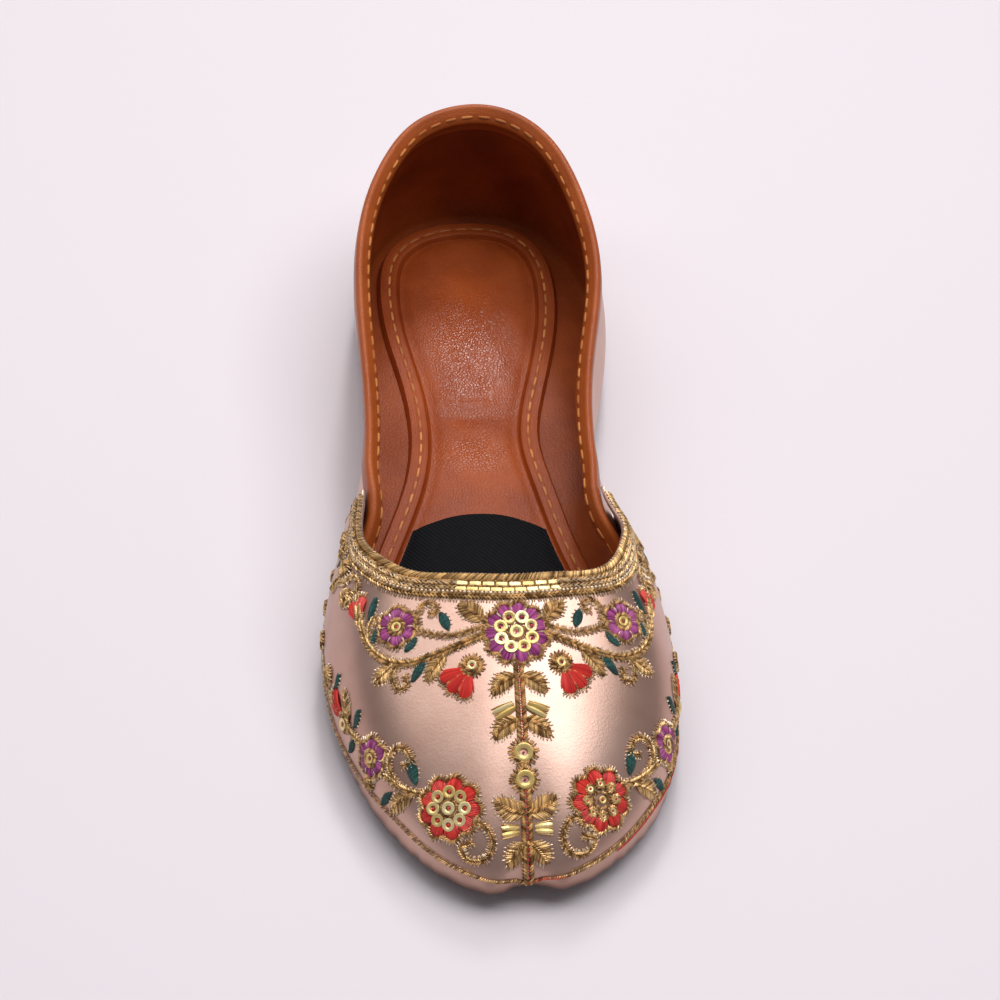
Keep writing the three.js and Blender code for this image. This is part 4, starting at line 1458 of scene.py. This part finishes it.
def trimmings():
    """Sequins, strips and beads, and the red knot that holds each sequin."""
    seeds = Heap()
    discs, knots = [], []
    for ground, x, y, radius, lift in DISCS:
        t, v = ground.lay([x], [y])
        p, out = vamp_frame(t, v)
        tilt = unit(out[0] + ground.x * RANDOM.normal(0, 0.09) + ground.y * RANDOM.normal(0, 0.09))
        ahead = unit(ground.x - tilt * (ground.x @ tilt))
        across = np.cross(tilt, ahead)
        discs.append((p[0] + out[0] * lift, ahead, across, tilt, (radius, radius, radius)))
        knots.append((p[0] + out[0] * (lift - radius * 0.16), ahead, across, tilt, KNOT_SCALE))
    scatter(SPANGLES, small_model(sequin_shape), discs)
    scatter(FLOSS["red"], small_model(bead_shape), knots)
    for heap, shape, scale, places in ((SPANGLES, strip_shape, STRIP_SCALE, STRIPS),
                                       (seeds, bead_shape, BEAD_SCALE, BEADS)):
        t, v, lift = (np.array(values) for values in zip(*places))
        p, ahead, across, out = line_frame(t, v)
        scatter(heap, small_model(shape), zip(p + out * lift[:, None], ahead, across, out, [scale] * len(p)))
    SPANGLES.piece("sequins", FOIL, angle=60)
    seeds.piece("seed_beads", BRIGHT, angle=80)


# Plain seams

SEAM_POINTS = 1500


def seam(heap, p, out, pitch=4.8, length=3.7, width=0.36, lift=0.2):
    """Lockstitches laid along a dense line of points, their ends pulled into the leather."""
    run = np.concatenate([[0], np.cumsum(np.linalg.norm(np.diff(p, axis=0), axis=1))])
    count = int(run[-1] / pitch)
    s = np.linspace(-0.5, 0.5, 7)
    middles = (np.arange(count) + 0.5) * run[-1] / count
    at = middles[:, None] + s * length + RANDOM.normal(0, 0.08, (count, 1))
    rise = lift * np.cos(s * np.pi) ** 0.4 - (lift + width) * (np.abs(s) > 0.49)
    path = np.stack([np.interp(at, run, p[:, k]) for k in range(3)], -1)
    ups = unit(np.stack([np.interp(at, run, out[:, k]) for k in range(3)], -1))
    taper = np.array([0.7, 0.95, 1, 1, 1, 0.95, 0.7])
    strands(heap, path + ups * rise[:, None], ups, width * taper, width * 0.8, sides=6)


def seams():
    """Stitching of the collar binding, the insole's band and the vamp's wings."""
    tan, rose = Heap(), Heap()
    side = np.linspace(-TUCK_T, TUCK_T, SEAM_POINTS)
    base, out, up = collar_base(side)
    inside = cleft(base + out * COLLAR_SEAM[0] + up * COLLAR_SEAM[1])
    seam(tan, inside, unit(up * 0.6 - out * 0.8))
    low = down(side, BINDING_OUTER + 1.0)
    clear = past(side) < WING - 0.3
    face = quarter_face(side, low)
    seam(rose, face[clear], out[clear], length=3.4, width=0.26, lift=0.12)
    p = insole_edge(np.linspace(0, INSOLE_ROUND, SEAM_POINTS), INSOLE_SEAM)
    p[:, 2] = insole_floor(p[:, 1]) + insole_height(INSOLE_SEAM)
    seam(tan, p, np.broadcast_to(UP, p.shape))
    v = np.linspace(0.06, 0.86, 200)
    for t in (WING + 0.14, ROUND - WING - 0.14):
        p, out = vamp_frame(np.full(200, t), v)
        seam(rose, p, out, 3.0, 2.2, 0.22, 0.12)
    tan.piece("tan_seams", SEAM_THREAD, "binding")
    rose.piece("rose_seams", ROSE_THREAD, "shell")


def embroidery():
    """All the gold and floss on the vamp and its throat."""
    garlands()
    braid_base()
    lip_whipping()
    braid_rows()
    trimmings()
    GOLD.piece("gold_cords", OLIVE)
    BRAID.piece("gold_braid_rows", OLIVE)
    SHINE.piece("bright_picots", BRIGHT)
    for name, heap in FLOSS.items():
        heap.piece(f"{name}_floss_stitches", FLOSS_THREADS[name])


# Stage, light and camera

SHOT = {                                 # the camera: lens in widths of the sensor, mm, degrees
    "lens": 3.2, "distance": 875.28, "elevation": 48.0, "target": (-62.34, 11.84, 0.0),
}
AIM = (2.0, 1.0, 14.0)
ROLL = 4.0
SENSOR = 36.0
WORLD_LIGHT = 0.21
SOFTBOXES = {                            # place, aim, size in metres, watts
    "key_softbox": ((0.32, -0.02, 1.2), (0, -0.03, 0.02), (0.70, 1.0), 8.4),
    "side_softbox": ((-0.62, 0.05, 1.0), (0, -0.02, 0.02), (0.35, 0.8), 2.0),
    "top_softbox": ((-0.1, 0.50, 1.2), (0, 0.02, 0.02), (1.0, 0.5), 3.3),
    "rear_softbox": ((0.085, 0.83, 0.93), (0, 0.05, 0.01), (0.14, 0.30), 3.5),
}


def stage():
    clear_selection()
    bpy.ops.mesh.primitive_plane_add(size=6.0)
    floor = bpy.context.object
    floor.name = "floor"
    floor.data.materials.append(plain_floor())


def into_scene(name, data):
    holder = bpy.data.objects.new(name, data)
    bpy.context.scene.collection.objects.link(holder)
    return holder


def area_light(name, place, aim, size, watts):
    light = bpy.data.lights.new(name, "AREA")
    light.shape = "RECTANGLE"
    light.size, light.size_y = size
    light.energy = watts
    holder = into_scene(name, light)
    holder.location = place
    holder.rotation_euler = (Vector(aim) - Vector(place)).to_track_quat("-Z", "Y").to_euler()


def lights():
    world = bpy.data.worlds.new("studio")
    bpy.context.scene.world = world
    world.use_nodes = True
    background = world.node_tree.nodes["Background"]
    background.inputs[0].default_value = (0.98, 0.97, 1.0, 1)
    background.inputs[1].default_value = WORLD_LIGHT
    for name, softbox in SOFTBOXES.items():
        area_light(name, *softbox)
    bpy.context.scene.view_settings.view_transform = "Standard"


def camera():
    lens = bpy.data.cameras.new("camera")
    lens.sensor_width = SENSOR
    lens.lens = SHOT["lens"] * SENSOR
    holder = into_scene("camera", lens)
    rise = math.radians(SHOT["elevation"])
    back = np.array([0, -math.cos(rise), math.sin(rise)]) * SHOT["distance"]
    place = Vector((np.array(SHOT["target"]) + back + PLACE) * MM)
    aim = Vector((np.array(AIM) + PLACE) * MM)
    turn = (aim - place).to_track_quat("-Z", "Y").to_matrix().to_4x4()
    holder.matrix_world = Matrix.Translation(place) @ turn @ Matrix.Rotation(math.radians(ROLL), 4, "Z")
    lens.clip_start, lens.clip_end = 0.05, 20
    bpy.context.scene.camera = holder


vamp()
vamp_lining()
quarter()
quarter_lining()
collar_binding()
outsole()
insole()
label_patch()
seams()
embroidery()
stage()
lights()
camera()
